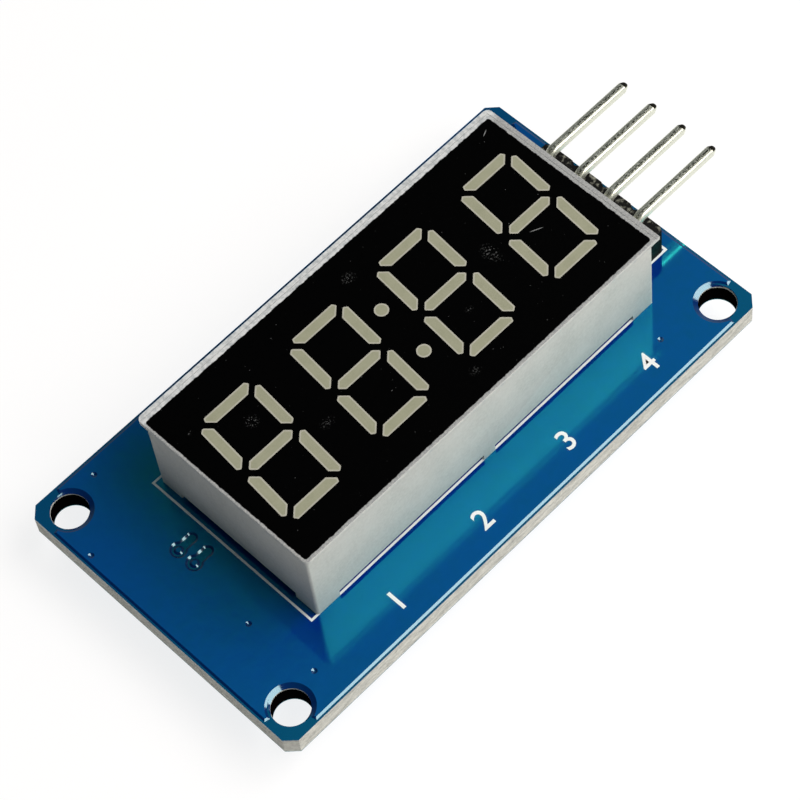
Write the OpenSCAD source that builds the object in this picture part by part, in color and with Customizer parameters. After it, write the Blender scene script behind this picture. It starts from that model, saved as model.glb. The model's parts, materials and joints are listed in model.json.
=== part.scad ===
// Four digit seven segment display module.
// A circuit board carries the display body, a driver chip with its small parts and a bent pin header.
// The origin is the centre of the four mounting holes on the board's underside. +X points along
// the header pins, +Y to the top of the digits and +Z out of the display's face.

/* [Circuit board] */
// Thickness of the board
board_t = 1.6; // [1:0.1:2.4]
// Board length beyond the plain end of the display
end_margin = 7.24; // [6:0.02:12]
// Board width beyond the display on the side below the digits
near_margin = 4.95; // [4:0.05:8]
// Board width beyond the display on the side above the digits
far_margin = 4.65; // [4:0.05:8]
// Leg of the small cut at each board corner
corner_cut = 0.7; // [0.2:0.1:1.2]
// Diameter of the mounting holes
mount_d = 2.5; // [2:0.1:3]
// Distance from a mounting hole's centre to both of its board edges
mount_inset = 1.9; // [1.8:0.1:2.4]

/* [Digits] */
// Overall height of a digit
digit_h = 9.2; // [8:0.1:11]
// Overall width of an upright digit
digit_w = 4.82; // [4.2:0.02:5.2]
// Distance between the centres of neighbouring digits
digit_pitch = 7.54; // [7.2:0.02:9]
// Width of a segment's bar
stroke = 0.79; // [0.6:0.01:1]
// Lean of the digits from upright, in degrees
slant = 5.1; // [0:0.1:8]
// Gap between two segments at a digit's corners
segment_gap = 0.41; // [0.3:0.01:0.6]
// Gap between the middle segment and its neighbours
waist_gap = 0.45; // [0.3:0.01:0.6]
// How far the tip of a segment is cut back from the digit's outline
tip_cut = 0.27; // [0.1:0.01:0.35]
// Radius of a segment's corners
segment_r = 0.1; // [0.04:0.01:0.14]
// Diameter of a colon dot
dot_d = 0.95; // [0.6:0.05:1.3]
// Distance between the two colon dots along the digit's height
dot_spacing = 4.0; // [3:0.1:5]

/* [Display body] */
// Height of the display's face above the board
display_h = 7.0; // [6:0.1:10]
// Face left above and below the digits
face_border = 2.4; // [1.8:0.1:4]
// Shift of the digits along the face, from its centre
digit_shift_x = 0.17; // [-0.3:0.01:0.3]
// Shift of the digits across the face, from its centre
digit_shift_y = 0.05; // [-0.3:0.01:0.3]
// Wall around the resin in the back of the housing
housing_wall = 1.0; // [0.7:0.1:1.4]
// Radius of the housing's upright edges
housing_r = 0.2; // [0.1:0.05:0.5]
// Length of each foot at a housing corner
foot_l = 1.9; // [1.5:0.1:3]
// Length of the foot in the middle of a long wall
mid_foot_l = 1.0; // [0.6:0.1:2]
// Height of the gap between the feet
foot_h = 0.65; // [0.2:0.05:0.8]
// Depth of the housing's back that the resin leaves empty
resin_recess = 0.75; // [0.5:0.05:0.9]
// Thickness of the resin
resin_t = 0.65; // [0.5:0.05:1.2]
// Thickness of the board that carries the light chips
led_board_t = 1.0; // [0.6:0.1:1.2]
// Side of a light chip
die_w = 0.3; // [0.2:0.05:0.4]
// Height of a light chip
die_h = 0.12; // [0.08:0.02:0.2]

/* [Front film] */
// Thickness of the film on the face
film_t = 0.3; // [0.1:0.05:0.5]
// Film beyond the housing on the sides where it is nearly flush
film_flush = 0.08; // [0:0.02:0.3]
// Film beyond the housing at the header end
film_over_x = 0.6; // [0:0.05:0.8]
// Film beyond the housing above the digits
film_over_y = 0.72; // [0:0.02:0.8]
// Radius of the film's corners
film_r = 0.4; // [0.1:0.05:0.8]

/* [Display leads] */
// Diameter of a lead
lead_d = 0.5; // [0.4:0.05:0.6]
// Distance between leads in a row
lead_pitch = 2.54; // [2:0.01:3]
// Distance between the two rows of leads
lead_rows = 10.16; // [9:0.02:11]
// Length of a lead below the circuit board
lead_tail = 1.7; // [1.2:0.1:2]
// Diameter of the plated holes for the leads
lead_hole_d = 0.9; // [0.8:0.05:1.2]
// Diameter of a solder pad
pad_d = 1.5; // [1.3:0.05:1.8]
// Height of a solder cone
solder_h = 0.8; // [0.5:0.05:1.1]

/* [Pin header] */
// Width of the square header pins
pin_w = 0.64; // [0.5:0.02:0.7]
// Distance between header pins
pin_pitch = 2.54; // [2.2:0.01:3]
// Depth of the header body, along the board's length
header_w = 2.5; // [2:0.1:3]
// Height of the header body
header_h = 2.54; // [2:0.02:3]
// Depth of the notches between the header's cells
header_notch = 0.35; // [0.1:0.05:0.5]
// Gap between the header body and the display
header_gap = 0.9; // [0.7:0.1:2]
// Board left between the header body and the board's edge
header_land = 1.2; // [0.5:0.1:2]
// Place of the header across the board, from the board's centre
header_y = 0.35; // [-1:0.05:1]
// Height of the pins' level stretch above the header body, to its middle
pin_rise = 1.14; // [1:0.02:2]
// Inner radius of the bend in a pin
pin_bend_r = 0.35; // [0.2:0.05:0.6]
// Length of a pin beyond the board's edge
pin_reach = 5.0; // [3:0.05:8]
// Length of the taper at a pin's tip
pin_taper = 0.4; // [0.2:0.05:0.9]
// Width of a pin at its tip
pin_tip_w = 0.35; // [0.2:0.05:0.45]
// Length of a pin below the circuit board
pin_tail = 1.9; // [1.3:0.1:2.2]
// Diameter of the plated holes for the header pins
pin_hole_d = 1.1; // [1.05:0.05:1.3]

/* [Driver chip] */
// Length of the chip's body beyond the middle of its last leads, at both ends
chip_end = 0.69; // [0.4:0.01:1.2]
// Width of the chip's body
chip_w = 7.5; // [6:0.1:8]
// Thickness of the chip's body
chip_t = 2.3; // [2:0.05:2.5]
// Gap between the chip's body and the circuit board
chip_standoff = 0.1; // [0.05:0.05:0.2]
// Slope of the chip's sides, as the inward lean of each half
chip_draft = 0.12; // [0.05:0.01:0.2]
// Distance from the chip's leads to the display's nearest solder pads
chip_gap = 2.1; // [1:0.1:2.5]
// Distance from the chip's body to the heel of a lead's foot
chip_shoulder = 0.65; // [0.5:0.05:1]
// Distance between the chip's leads
chip_pitch = 1.27; // [1.2:0.01:1.3]
// Width of a chip lead
chip_lead_w = 0.41; // [0.3:0.01:0.5]
// Thickness of a chip lead
chip_lead_t = 0.25; // [0.15:0.05:0.3]
// Length of a chip lead's foot
chip_foot_l = 0.75; // [0.5:0.05:1]

/* [Small parts] */
// Length of a resistor or capacitor
part_l = 1.6; // [1.2:0.1:2]
// Width of a resistor or capacitor
part_w = 0.8; // [0.6:0.05:1.25]
// Height of a resistor
resistor_h = 0.45; // [0.3:0.05:0.6]
// Height of a capacitor
capacitor_h = 0.8; // [0.5:0.05:1.25]
// Distance between neighbouring small parts
part_pitch = 2.5; // [2:0.1:3]
// Gap from the display's last solder pad to the small parts
part_gap = 3.4; // [2:0.1:4]
// Length of a metal end cap
cap_l = 0.3; // [0.2:0.05:0.4]
// Thickness of a metal end cap
cap_t = 0.04; // [0.02:0.01:0.08]
// Foot of the solder at an end cap
fillet_l = 0.35; // [0.2:0.05:0.5]

/* [Hidden] */
// Gap left around each piece that is cast, soldered or pressed into another.
cast_fit = 0.01;
digit_count = 4;
segment_names = ["a", "b", "c", "d", "e", "f", "g"];
dot_names = ["upper", "lower"];
leads_per_row = 6;
pin_count = 4;
chip_leads_per_side = 10;
capacitor_count = 4;
resistor_count = 2;
round_fn = 48;
small_fn = 24;

// Display body and circuit board, sized from the digits outwards.
display_l = digit_count * digit_pitch;
display_w = digit_h + 2 * face_border;
header_margin = header_gap + header_w + header_land;
board_l = end_margin + display_l + header_margin;
board_w = near_margin + display_w + far_margin;
mount_x = board_l / 2 - mount_inset;
mount_y = board_w / 2 - mount_inset;
display_x = end_margin + display_l / 2 - board_l / 2;
display_y = near_margin + display_w / 2 - board_w / 2;

// Levels in the display, from the circuit board's top upwards.
resin_z = board_t + resin_recess;
led_board_z = resin_z + resin_t;
well_z = led_board_z + led_board_t;
face_z = board_t + display_h;
film_z = face_z - film_t;
housing_h = film_z - board_t;
cavity_h = well_z - board_t;
cavity_l = display_l - 2 * housing_wall;
cavity_w = display_w - 2 * housing_wall;

// Outline of one upright digit, around its own centre.
half_w = digit_w / 2;
half_h = digit_h / 2;
inner_w = half_w - stroke;
inner_h = half_h - stroke;
// A corner's cut runs at 45 degrees. The slant moves the cut on the side it leans to.
mitre_shift = stroke * tan(slant) * 1.5;
open_mitre = half_h - half_w + mitre_shift;
closed_mitre = half_h - half_w - mitre_shift;
corner_half_gap = segment_gap / sqrt(2);
waist_half_gap = waist_gap / sqrt(2);
waist_inset = stroke * 0.31;
bar_waist = half_w - waist_inset + waist_half_gap;
middle_waist = half_w - waist_inset - waist_half_gap;
tip_drop = tip_cut * 0.75;

// Header and pins.
header_x = board_l / 2 - header_land - header_w / 2;
pin_z = board_t + header_h + pin_rise;
pin_end_x = board_l / 2 + pin_reach;
bend_r = pin_bend_r + pin_w;
taper_side = (pin_w - pin_tip_w) / 2;

// Underside.
lead_row_l = (leads_per_row - 1) * lead_pitch;
chip_l = (chip_leads_per_side - 1) * chip_pitch + 2 * chip_end;
chip_span = chip_w + 2 * (chip_shoulder + chip_foot_l);
chip_x = display_x - lead_row_l / 2 - pad_d / 2 - chip_gap - chip_span / 2;
chip_mid_z = -chip_standoff - chip_t / 2;
part_x = display_x + lead_row_l / 2 + pad_d / 2 + part_gap + part_l / 2;

// ---- Helpers -------------------------------------------------------------------------------

// Outward unit normal of the edge from a to b, on an outline that runs anticlockwise.
function edge_normal(a, b) = [b[1] - a[1], a[0] - b[0]] / norm(b - a);

// The outline p with every edge moved outwards by d.
function grown(p, d) = [
    for (i = [0:len(p) - 1])
        let (
            before = p[(i + len(p) - 1) % len(p)],
            after = p[(i + 1) % len(p)],
            n = edge_normal(before, p[i]),
            m = edge_normal(p[i], after)
        )
        p[i] + d * (n + m) / (1 + n * m)
];

// The outline p with its corners rounded to radius r.
function rounded(p, r, steps = 3) = [
    for (i = [0:len(p) - 1])
        let (
            before = p[(i + len(p) - 1) % len(p)],
            after = p[(i + 1) % len(p)],
            n = edge_normal(before, p[i]),
            m = edge_normal(p[i], after),
            centre = p[i] - r * (n + m) / (1 + n * m),
            start = atan2(n[1], n[0]),
            turn = acos(n * m)
        )
        for (k = [0:steps])
            let (angle = start + turn * k / steps)
            centre + r * [cos(angle), sin(angle)]
];

function middle(p) = [for (v = p) 1] * p / len(p);
function half_turn(p) = [for (v = p) -v];
function mirrored(p) = [for (i = [len(p) - 1:-1:0]) [-p[i][0], p[i][1]]];
function leaning(p) = [for (v = p) [v[0] + v[1] * tan(slant), v[1]]];

// A plate with rounded upright edges between two opposite corners.
module rounded_plate(low, high, r, h) {
    linear_extrude(height = h)
        union() {
            translate([low[0] + r, low[1]])
                square([high[0] - low[0] - 2 * r, high[1] - low[1]]);
            translate([low[0], low[1] + r])
                square([high[0] - low[0], high[1] - low[1] - 2 * r]);
            for (x = [low[0] + r, high[0] - r], y = [low[1] + r, high[1] - r])
                translate([x, y])
                    circle(r = r, $fn = small_fn);
        }
}

module centred_plate(l, w, r, h) {
    rounded_plate([-l / 2, -w / 2], [l / 2, w / 2], r, h);
}

module at_mounts() {
    for (x = [-mount_x, mount_x], y = [-mount_y, mount_y])
        translate([x, y, 0])
            children();
}

module at_display() {
    translate([display_x, display_y, 0])
        children();
}

module at_leads() {
    for (i = [0:leads_per_row - 1], y = [-lead_rows / 2, lead_rows / 2])
        translate([display_x - lead_row_l / 2 + i * lead_pitch, display_y + y, 0])
            children();
}

module at_pin(k) {
    translate([header_x, header_y + ((pin_count + 1) / 2 - k) * pin_pitch, 0])
        children();
}

// ---- Digits --------------------------------------------------------------------------------

// The right-hand upper bar, cut at its top along v - u = mitre.
function upright_bar(mitre) = [
    [inner_w, bar_waist - inner_w],
    [half_w - tip_cut, bar_waist - half_w + tip_cut],
    [half_w, bar_waist - half_w + tip_cut + tip_drop],
    [half_w, mitre + half_w - tip_cut - tip_drop],
    [half_w - tip_cut, mitre + half_w - tip_cut],
    [inner_w, mitre + inner_w]
];

function top_bar() =
    let (
        left = open_mitre + corner_half_gap,
        right = closed_mitre + corner_half_gap,
        tip_v = half_h - tip_cut
    )
    [
        [left - inner_h, inner_h],
        [inner_h - right, inner_h],
        [tip_v - right, tip_v],
        [tip_v - right - tip_drop, half_h],
        [left - tip_v + tip_drop / 2, half_h],
        [left - tip_v, tip_v]
    ];

function middle_bar() = [
    [-middle_waist, 0],
    [-middle_waist + stroke / 2, -stroke / 2],
    [middle_waist - stroke / 2, -stroke / 2],
    [middle_waist, 0],
    [middle_waist - stroke / 2, stroke / 2],
    [-middle_waist + stroke / 2, stroke / 2]
];

function right_bar() = upright_bar(closed_mitre - corner_half_gap);
function left_bar() = mirrored(upright_bar(open_mitre - corner_half_gap));

function upright_segment(name) =
    name == "a" ? top_bar()
    : name == "b" ? right_bar()
    : name == "c" ? half_turn(left_bar())
    : name == "d" ? half_turn(top_bar())
    : name == "e" ? half_turn(right_bar())
    : name == "f" ? left_bar()
    : middle_bar();

function segment_outline(name) = leaning(upright_segment(name));

module at_digit(d) {
    translate([
        display_x + digit_shift_x + (d - (digit_count + 1) / 2) * digit_pitch,
        display_y + digit_shift_y,
        0
    ])
        children();
}

module at_dot(name) {
    side = name == "upper" ? 1 : -1;
    translate([
        display_x + digit_shift_x + side * dot_spacing / 2 * tan(slant),
        display_y + digit_shift_y + side * dot_spacing / 2,
        0
    ])
        children();
}

module segment_prism(name, z, h, fit = 0) {
    translate([0, 0, z])
        linear_extrude(height = h)
            polygon(rounded(grown(segment_outline(name), fit), segment_r));
}

module dot_prism(z, h, fit = 0) {
    translate([0, 0, z])
        cylinder(d = dot_d + 2 * fit, h = h, $fn = round_fn);
}

// Every light well, as cut through the housing and the film.
module light_wells(z, h) {
    for (d = [1:digit_count], s = segment_names)
        at_digit(d)
            segment_prism(s, z, h, cast_fit);
    for (n = dot_names)
        at_dot(n)
            dot_prism(z, h, cast_fit);
}

// One light chip, or the pocket that the cast lens leaves around it.
module die(fit = 0) {
    side = die_w + 2 * fit;
    translate([-side / 2, -side / 2, well_z - fit])
        cube([side, side, die_h + 2 * fit]);
}

module at_segment_middle(name) {
    translate(concat(middle(segment_outline(name)), 0))
        children();
}

module digit_segment(d, name) {
    color("beige")
        at_digit(d)
            difference() {
                segment_prism(name, well_z, face_z - well_z);
                at_segment_middle(name)
                    die(cast_fit);
            }
}

module colon_dot(name) {
    color("beige")
        at_dot(name)
            difference() {
                dot_prism(well_z, face_z - well_z);
                die(cast_fit);
            }
}

// ---- Display body --------------------------------------------------------------------------

module foot_gaps() {
    side_l = (display_l - mid_foot_l) / 2 - foot_l;
    for (side = [-1, 1])
        translate([side * (mid_foot_l + side_l) / 2, 0, foot_h / 2])
            cube([side_l, display_w + 1, foot_h], center = true);
    translate([0, 0, foot_h / 2])
        cube([display_l + 1, display_w - 2 * foot_l, foot_h], center = true);
}

module display_housing() {
    color("gainsboro")
        difference() {
            at_display()
                translate([0, 0, board_t])
                    difference() {
                        centred_plate(display_l, display_w, housing_r, housing_h);
                        translate([-cavity_l / 2, -cavity_w / 2, -1])
                            cube([cavity_l, cavity_w, cavity_h + 1]);
                        foot_gaps();
                    }
            light_wells(well_z - 1, housing_h + 2);
        }
}

module front_film() {
    color("black")
        difference() {
            at_display()
                translate([0, 0, film_z])
                    rounded_plate(
                        [-display_l / 2 - film_flush, -display_w / 2 - film_flush],
                        [display_l / 2 + film_over_x, display_w / 2 + film_over_y],
                        film_r,
                        film_t
                    );
            light_wells(film_z - 1, film_t + 2);
        }
}

module led_board() {
    color("white")
        difference() {
            at_display()
                translate([0, 0, led_board_z])
                    centred_plate(cavity_l - 2 * cast_fit, cavity_w - 2 * cast_fit, housing_r, led_board_t);
            at_leads()
                translate([0, 0, led_board_z - 1])
                    cylinder(d = lead_d + 2 * cast_fit, h = led_board_t + 2, $fn = small_fn);
        }
}

module led_dies() {
    color("gold") {
        for (d = [1:digit_count], s = segment_names)
            at_digit(d)
                at_segment_middle(s)
                    die();
        for (n = dot_names)
            at_dot(n)
                die();
    }
}

module potting_resin() {
    color("lightgray")
        difference() {
            at_display()
                translate([0, 0, resin_z])
                    centred_plate(cavity_l - 2 * cast_fit, cavity_w - 2 * cast_fit, housing_r, resin_t);
            at_leads()
                translate([0, 0, resin_z - 1])
                    cylinder(d = lead_d + 2 * cast_fit, h = resin_t + 2, $fn = small_fn);
        }
}

module display_leads() {
    color("silver")
        at_leads()
            translate([0, 0, -lead_tail])
                cylinder(d = lead_d, h = well_z + lead_tail, $fn = small_fn);
}

// Half section of a solder joint: a cone under the board and the filled hole above it.
module solder_joint(core_r, hole_d) {
    rotate_extrude($fn = small_fn)
        polygon([
            [core_r, -solder_h],
            [core_r + 0.1, -solder_h],
            [core_r + 0.2, -solder_h / 2],
            [pad_d / 2, 0],
            [hole_d / 2 - cast_fit, 0],
            [hole_d / 2 - cast_fit, board_t],
            [core_r, board_t]
        ]);
}

module display_solder() {
    color("silver")
        at_leads()
            solder_joint(lead_d / 2 + cast_fit, lead_hole_d);
}

// ---- Circuit board -------------------------------------------------------------------------

module circuit_board() {
    x = board_l / 2;
    y = board_w / 2;
    c = corner_cut;
    color("royalblue")
        difference() {
            linear_extrude(height = board_t)
                polygon([
                    [-x + c, -y], [x - c, -y], [x, -y + c], [x, y - c],
                    [x - c, y], [-x + c, y], [-x, y - c], [-x, -y + c]
                ]);
            at_mounts()
                translate([0, 0, -1])
                    cylinder(d = mount_d, h = board_t + 2, $fn = round_fn);
            at_leads()
                translate([0, 0, -1])
                    cylinder(d = lead_hole_d, h = board_t + 2, $fn = small_fn);
            for (k = [1:pin_count])
                at_pin(k)
                    translate([0, 0, -1])
                        cylinder(d = pin_hole_d, h = board_t + 2, $fn = small_fn);
        }
}

// ---- Pin header ----------------------------------------------------------------------------

// One side of the header's outline, from its lower to its upper end.
function header_side() = [
    for (k = [0:pin_count - 1])
        let (low = (k - pin_count / 2) * pin_pitch, high = low + pin_pitch)
        each [
            [header_w / 2 - header_notch, low],
            [header_w / 2, low + header_notch],
            [header_w / 2, high - header_notch],
            [header_w / 2 - header_notch, high]
        ]
];

module header_body() {
    color("black")
        difference() {
            translate([header_x, header_y, board_t])
                linear_extrude(height = header_h)
                    polygon(concat(header_side(), mirrored(header_side())));
            for (k = [1:pin_count])
                at_pin(k)
                    pin_leg(pin_w + 2 * cast_fit, board_t - 1, board_t + header_h + 1);
        }
}

module pin_leg(w, z_low, z_high) {
    translate([-w / 2, -w / 2, z_low])
        cube([w, w, z_high - z_low]);
}

// The bend and the level stretch of a pin, seen from the side, with its foot at [0, 0].
module pin_side() {
    reach = pin_end_x - header_x;
    straight_z = pin_z - pin_w / 2 - pin_bend_r;
    union() {
        translate([-pin_w / 2, -pin_tail])
            square([pin_w, straight_z + pin_tail]);
        translate([pin_w / 2 + pin_bend_r, straight_z])
            intersection() {
                difference() {
                    circle(r = bend_r, $fn = round_fn);
                    circle(r = pin_bend_r, $fn = round_fn);
                }
                translate([-bend_r, 0])
                    square([bend_r, bend_r]);
            }
        polygon([
            [pin_w / 2 + pin_bend_r, pin_z - pin_w / 2],
            [reach - pin_taper, pin_z - pin_w / 2],
            [reach, pin_z - pin_tip_w / 2],
            [reach, pin_z + pin_tip_w / 2],
            [reach - pin_taper, pin_z + pin_w / 2],
            [pin_w / 2 + pin_bend_r, pin_z + pin_w / 2]
        ]);
    }
}

// A wedge that narrows a pin's tip on the +Y side.
module tip_wedge() {
    reach = pin_end_x - header_x;
    translate([0, 0, pin_z - pin_w])
        linear_extrude(height = 2 * pin_w)
            polygon([
                [reach - pin_taper, pin_w / 2],
                [reach, pin_w / 2 - taper_side],
                [reach + 1, pin_w / 2 - taper_side],
                [reach + 1, pin_w / 2 + 1],
                [reach - pin_taper, pin_w / 2 + 1]
            ]);
}

module header_pin(k) {
    color("silver")
        at_pin(k)
            difference() {
                translate([0, pin_w / 2, 0])
                    rotate([90, 0, 0])
                        linear_extrude(height = pin_w)
                            pin_side();
                tip_wedge();
                mirror([0, 1, 0])
                    tip_wedge();
            }
}

module header_solder() {
    core = pin_w + 2 * cast_fit;
    color("silver")
        for (k = [1:pin_count])
            at_pin(k)
                difference() {
                    union() {
                        translate([0, 0, -solder_h])
                            cylinder(d1 = core + 0.5, d2 = pad_d + 0.1, h = solder_h, $fn = small_fn);
                        cylinder(d = pin_hole_d - 2 * cast_fit, h = board_t, $fn = small_fn);
                    }
                    pin_leg(core, -solder_h - 1, board_t + 1);
                }
}

// ---- Underside parts -----------------------------------------------------------------------

// Section of the chip's body: widest at mid height, where its leads come out.
module chip_section(w) {
    polygon([
        [-w / 2 + chip_draft, -chip_t / 2],
        [w / 2 - chip_draft, -chip_t / 2],
        [w / 2, 0],
        [w / 2 - chip_draft, chip_t / 2],
        [-w / 2 + chip_draft, chip_t / 2],
        [-w / 2, 0]
    ]);
}

module driver_chip_body() {
    dimple_inset = 1.2;
    color("dimgray")
        translate([chip_x, 0, chip_mid_z])
            difference() {
                intersection() {
                    translate([0, chip_l / 2, 0])
                        rotate([90, 0, 0])
                            linear_extrude(height = chip_l)
                                chip_section(chip_w);
                    translate([-chip_w / 2, 0, 0])
                        rotate([90, 0, 90])
                            linear_extrude(height = chip_w)
                                chip_section(chip_l);
                }
                translate([dimple_inset - chip_w / 2, dimple_inset - chip_l / 2, -chip_t / 2 - 1])
                    cylinder(d = 1, h = 1.1, $fn = small_fn);
            }
}

// Side view of a gull-wing lead on the +X side, from the chip's wall to its toe.
module chip_lead_side() {
    wall = chip_w / 2 + cast_fit;
    heel = chip_w / 2 + chip_shoulder;
    toe = heel + chip_foot_l;
    t = chip_lead_t;
    polygon([
        [wall, chip_mid_z + t / 2],
        [wall, chip_mid_z - t / 2],
        [heel - t / 2, chip_mid_z - t / 2],
        [heel + t / 2, -t],
        [toe, -t],
        [toe, 0],
        [heel - t / 2, 0],
        [heel - 3 * t / 2, chip_mid_z + t / 2]
    ]);
}

module driver_chip_leads() {
    color("silver")
        for (i = [0:chip_leads_per_side - 1], side = [0, 1])
            translate([chip_x, (i - (chip_leads_per_side - 1) / 2) * chip_pitch, 0])
                mirror([side, 0, 0])
                    translate([0, chip_lead_w / 2, 0])
                        rotate([90, 0, 0])
                            linear_extrude(height = chip_lead_w)
                                chip_lead_side();
}

// Small parts stand in one column: the resistors in the middle, capacitors at both ends.
part_count = resistor_count + capacitor_count;
resistor_places = [for (k = [0:resistor_count - 1]) k + capacitor_count / 2];
capacitor_places = [
    for (k = [0:capacitor_count - 1]) k < capacitor_count / 2 ? k : k + resistor_count
];

module at_part(place) {
    translate([part_x, display_y + ((part_count - 1) / 2 - place) * part_pitch, 0])
        children();
}

// The ceramic block between the end caps, hanging from the board's underside.
module part_block(h, fit = 0) {
    l = part_l - 2 * cap_t + 2 * fit;
    w = part_w - 2 * cap_t + 2 * fit;
    translate([-l / 2, -w / 2, -h + cap_t - fit])
        cube([l, w, h - 2 * cap_t + 2 * fit]);
}

module resistor(k) {
    color("black")
        at_part(resistor_places[k - 1])
            part_block(resistor_h);
}

module capacitor(k) {
    color("tan")
        at_part(capacitor_places[k - 1])
            part_block(capacitor_h);
}

module cap_pair(h) {
    for (side = [0, 1])
        mirror([side, 0, 0])
            difference() {
                translate([part_l / 2 - cap_l, -part_w / 2, -h])
                    cube([cap_l, part_w, h]);
                part_block(h, cast_fit / 2);
            }
}

module end_caps() {
    color("silver") {
        for (place = resistor_places)
            at_part(place)
                cap_pair(resistor_h);
        for (place = capacitor_places)
            at_part(place)
                cap_pair(capacitor_h);
    }
}

module fillet_pair(h) {
    for (side = [0, 1])
        mirror([side, 0, 0])
            translate([part_l / 2, part_w / 2, 0])
                rotate([90, 0, 0])
                    linear_extrude(height = part_w)
                        polygon([[0, 0], [0, -h], [fillet_l, 0]]);
}

module end_cap_solder() {
    color("silver") {
        for (place = resistor_places)
            at_part(place)
                fillet_pair(resistor_h * 0.7);
        for (place = capacitor_places)
            at_part(place)
                fillet_pair(capacitor_h * 0.5);
    }
}

// ---- Output --------------------------------------------------------------------------------

circuit_board();
display_housing();
front_film();
led_board();
led_dies();
potting_resin();
for (d = [1:digit_count], s = segment_names)
    digit_segment(d, s);
for (n = dot_names)
    colon_dot(n);
display_leads();
display_solder();
header_body();
for (k = [1:pin_count])
    header_pin(k);
header_solder();
driver_chip_body();
driver_chip_leads();
for (k = [1:resistor_count])
    resistor(k);
for (k = [1:capacitor_count])
    capacitor(k);
end_caps();
end_cap_solder();
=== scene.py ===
"""Four digit seven segment display module, dressed on its CAD frame.

Every shape is worked out in millimetres and turned to metres when its piece is made.
"""

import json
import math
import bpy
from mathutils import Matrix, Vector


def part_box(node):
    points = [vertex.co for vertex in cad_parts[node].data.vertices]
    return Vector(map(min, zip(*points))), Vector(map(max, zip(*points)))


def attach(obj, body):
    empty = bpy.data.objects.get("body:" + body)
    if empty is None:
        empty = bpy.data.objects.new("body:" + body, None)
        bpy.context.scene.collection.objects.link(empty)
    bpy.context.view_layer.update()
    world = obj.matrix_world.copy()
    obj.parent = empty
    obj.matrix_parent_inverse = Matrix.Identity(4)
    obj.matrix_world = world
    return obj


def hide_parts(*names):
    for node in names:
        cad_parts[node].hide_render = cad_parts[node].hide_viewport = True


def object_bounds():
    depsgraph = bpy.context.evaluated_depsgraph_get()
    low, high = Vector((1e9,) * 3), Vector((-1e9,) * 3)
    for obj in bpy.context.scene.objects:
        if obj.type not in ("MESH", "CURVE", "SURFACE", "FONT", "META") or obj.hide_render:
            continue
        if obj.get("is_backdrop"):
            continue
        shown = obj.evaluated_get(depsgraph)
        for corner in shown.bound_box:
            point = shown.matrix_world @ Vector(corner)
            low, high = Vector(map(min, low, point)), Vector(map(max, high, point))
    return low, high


bl_info = {
    "name": "Seven segment display module",
    "version": (1, 0, 0),
    "blender": (4, 5, 0),
    "location": "View3D > Sidebar > Display module",
    "description": "Builds a four digit display module's pieces and finishes on its CAD frame",
    "category": "Object",
}

from functools import partial
from types import SimpleNamespace

import bmesh
import bpy
from bpy.props import FloatProperty, FloatVectorProperty, PointerProperty
from mathutils import Matrix, Vector
from mathutils.geometry import delaunay_2d_cdt

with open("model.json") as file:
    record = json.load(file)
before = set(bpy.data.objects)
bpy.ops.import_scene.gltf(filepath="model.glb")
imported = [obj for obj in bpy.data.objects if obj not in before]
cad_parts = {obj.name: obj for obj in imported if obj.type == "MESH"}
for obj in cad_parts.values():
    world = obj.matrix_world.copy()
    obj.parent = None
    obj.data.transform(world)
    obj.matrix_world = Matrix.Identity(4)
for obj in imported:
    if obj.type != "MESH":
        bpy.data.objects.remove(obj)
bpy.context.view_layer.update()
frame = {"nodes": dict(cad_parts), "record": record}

MM = 0.001
FLAT = math.radians(0.5)  # faces that meet at less than this lie in one plane
SHARP = math.radians(30)  # faces that meet at more than this have a real edge between them
LEVEL = 0.999  # a face whose normal rises this much lies level

SEGMENTS = "abcdefg"
DIGITS = (1, 2, 3, 4)
PINS = (1, 2, 3, 4)
# The underside's small parts: kind, how many, material slot, finish.
BLOCKS = (
    ("resistor", 2, "resistor_glaze", "glass_glaze_fired"),
    ("capacitor", 4, "capacitor_ceramic", "ceramic_fired_tan"),
)
LEADS_PER_ROW = 6
CHIP_LEADS_PER_SIDE = 10


def linear(hex_colour):
    """An sRGB hex colour as the linear RGBA that shaders take."""
    channels = [int(hex_colour[i : i + 2], 16) / 255 for i in (1, 3, 5)]
    return (*(c / 12.92 if c < 0.04045 else ((c + 0.055) / 1.055) ** 2.4 for c in channels), 1.0)


def size(name, description, default_mm):
    return FloatProperty(
        name=name, description=description, default=default_mm * MM, min=0.0, unit="LENGTH", precision=5
    )


def tint(name, description, hex_colour):
    return FloatVectorProperty(
        name=name, description=description, default=linear(hex_colour), size=4, subtype="COLOR", min=0.0, max=1.0
    )


def level(name, description, default):
    return FloatProperty(name=name, description=description, default=default, min=0.0)


# ---- Sizes and colours ----


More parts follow.
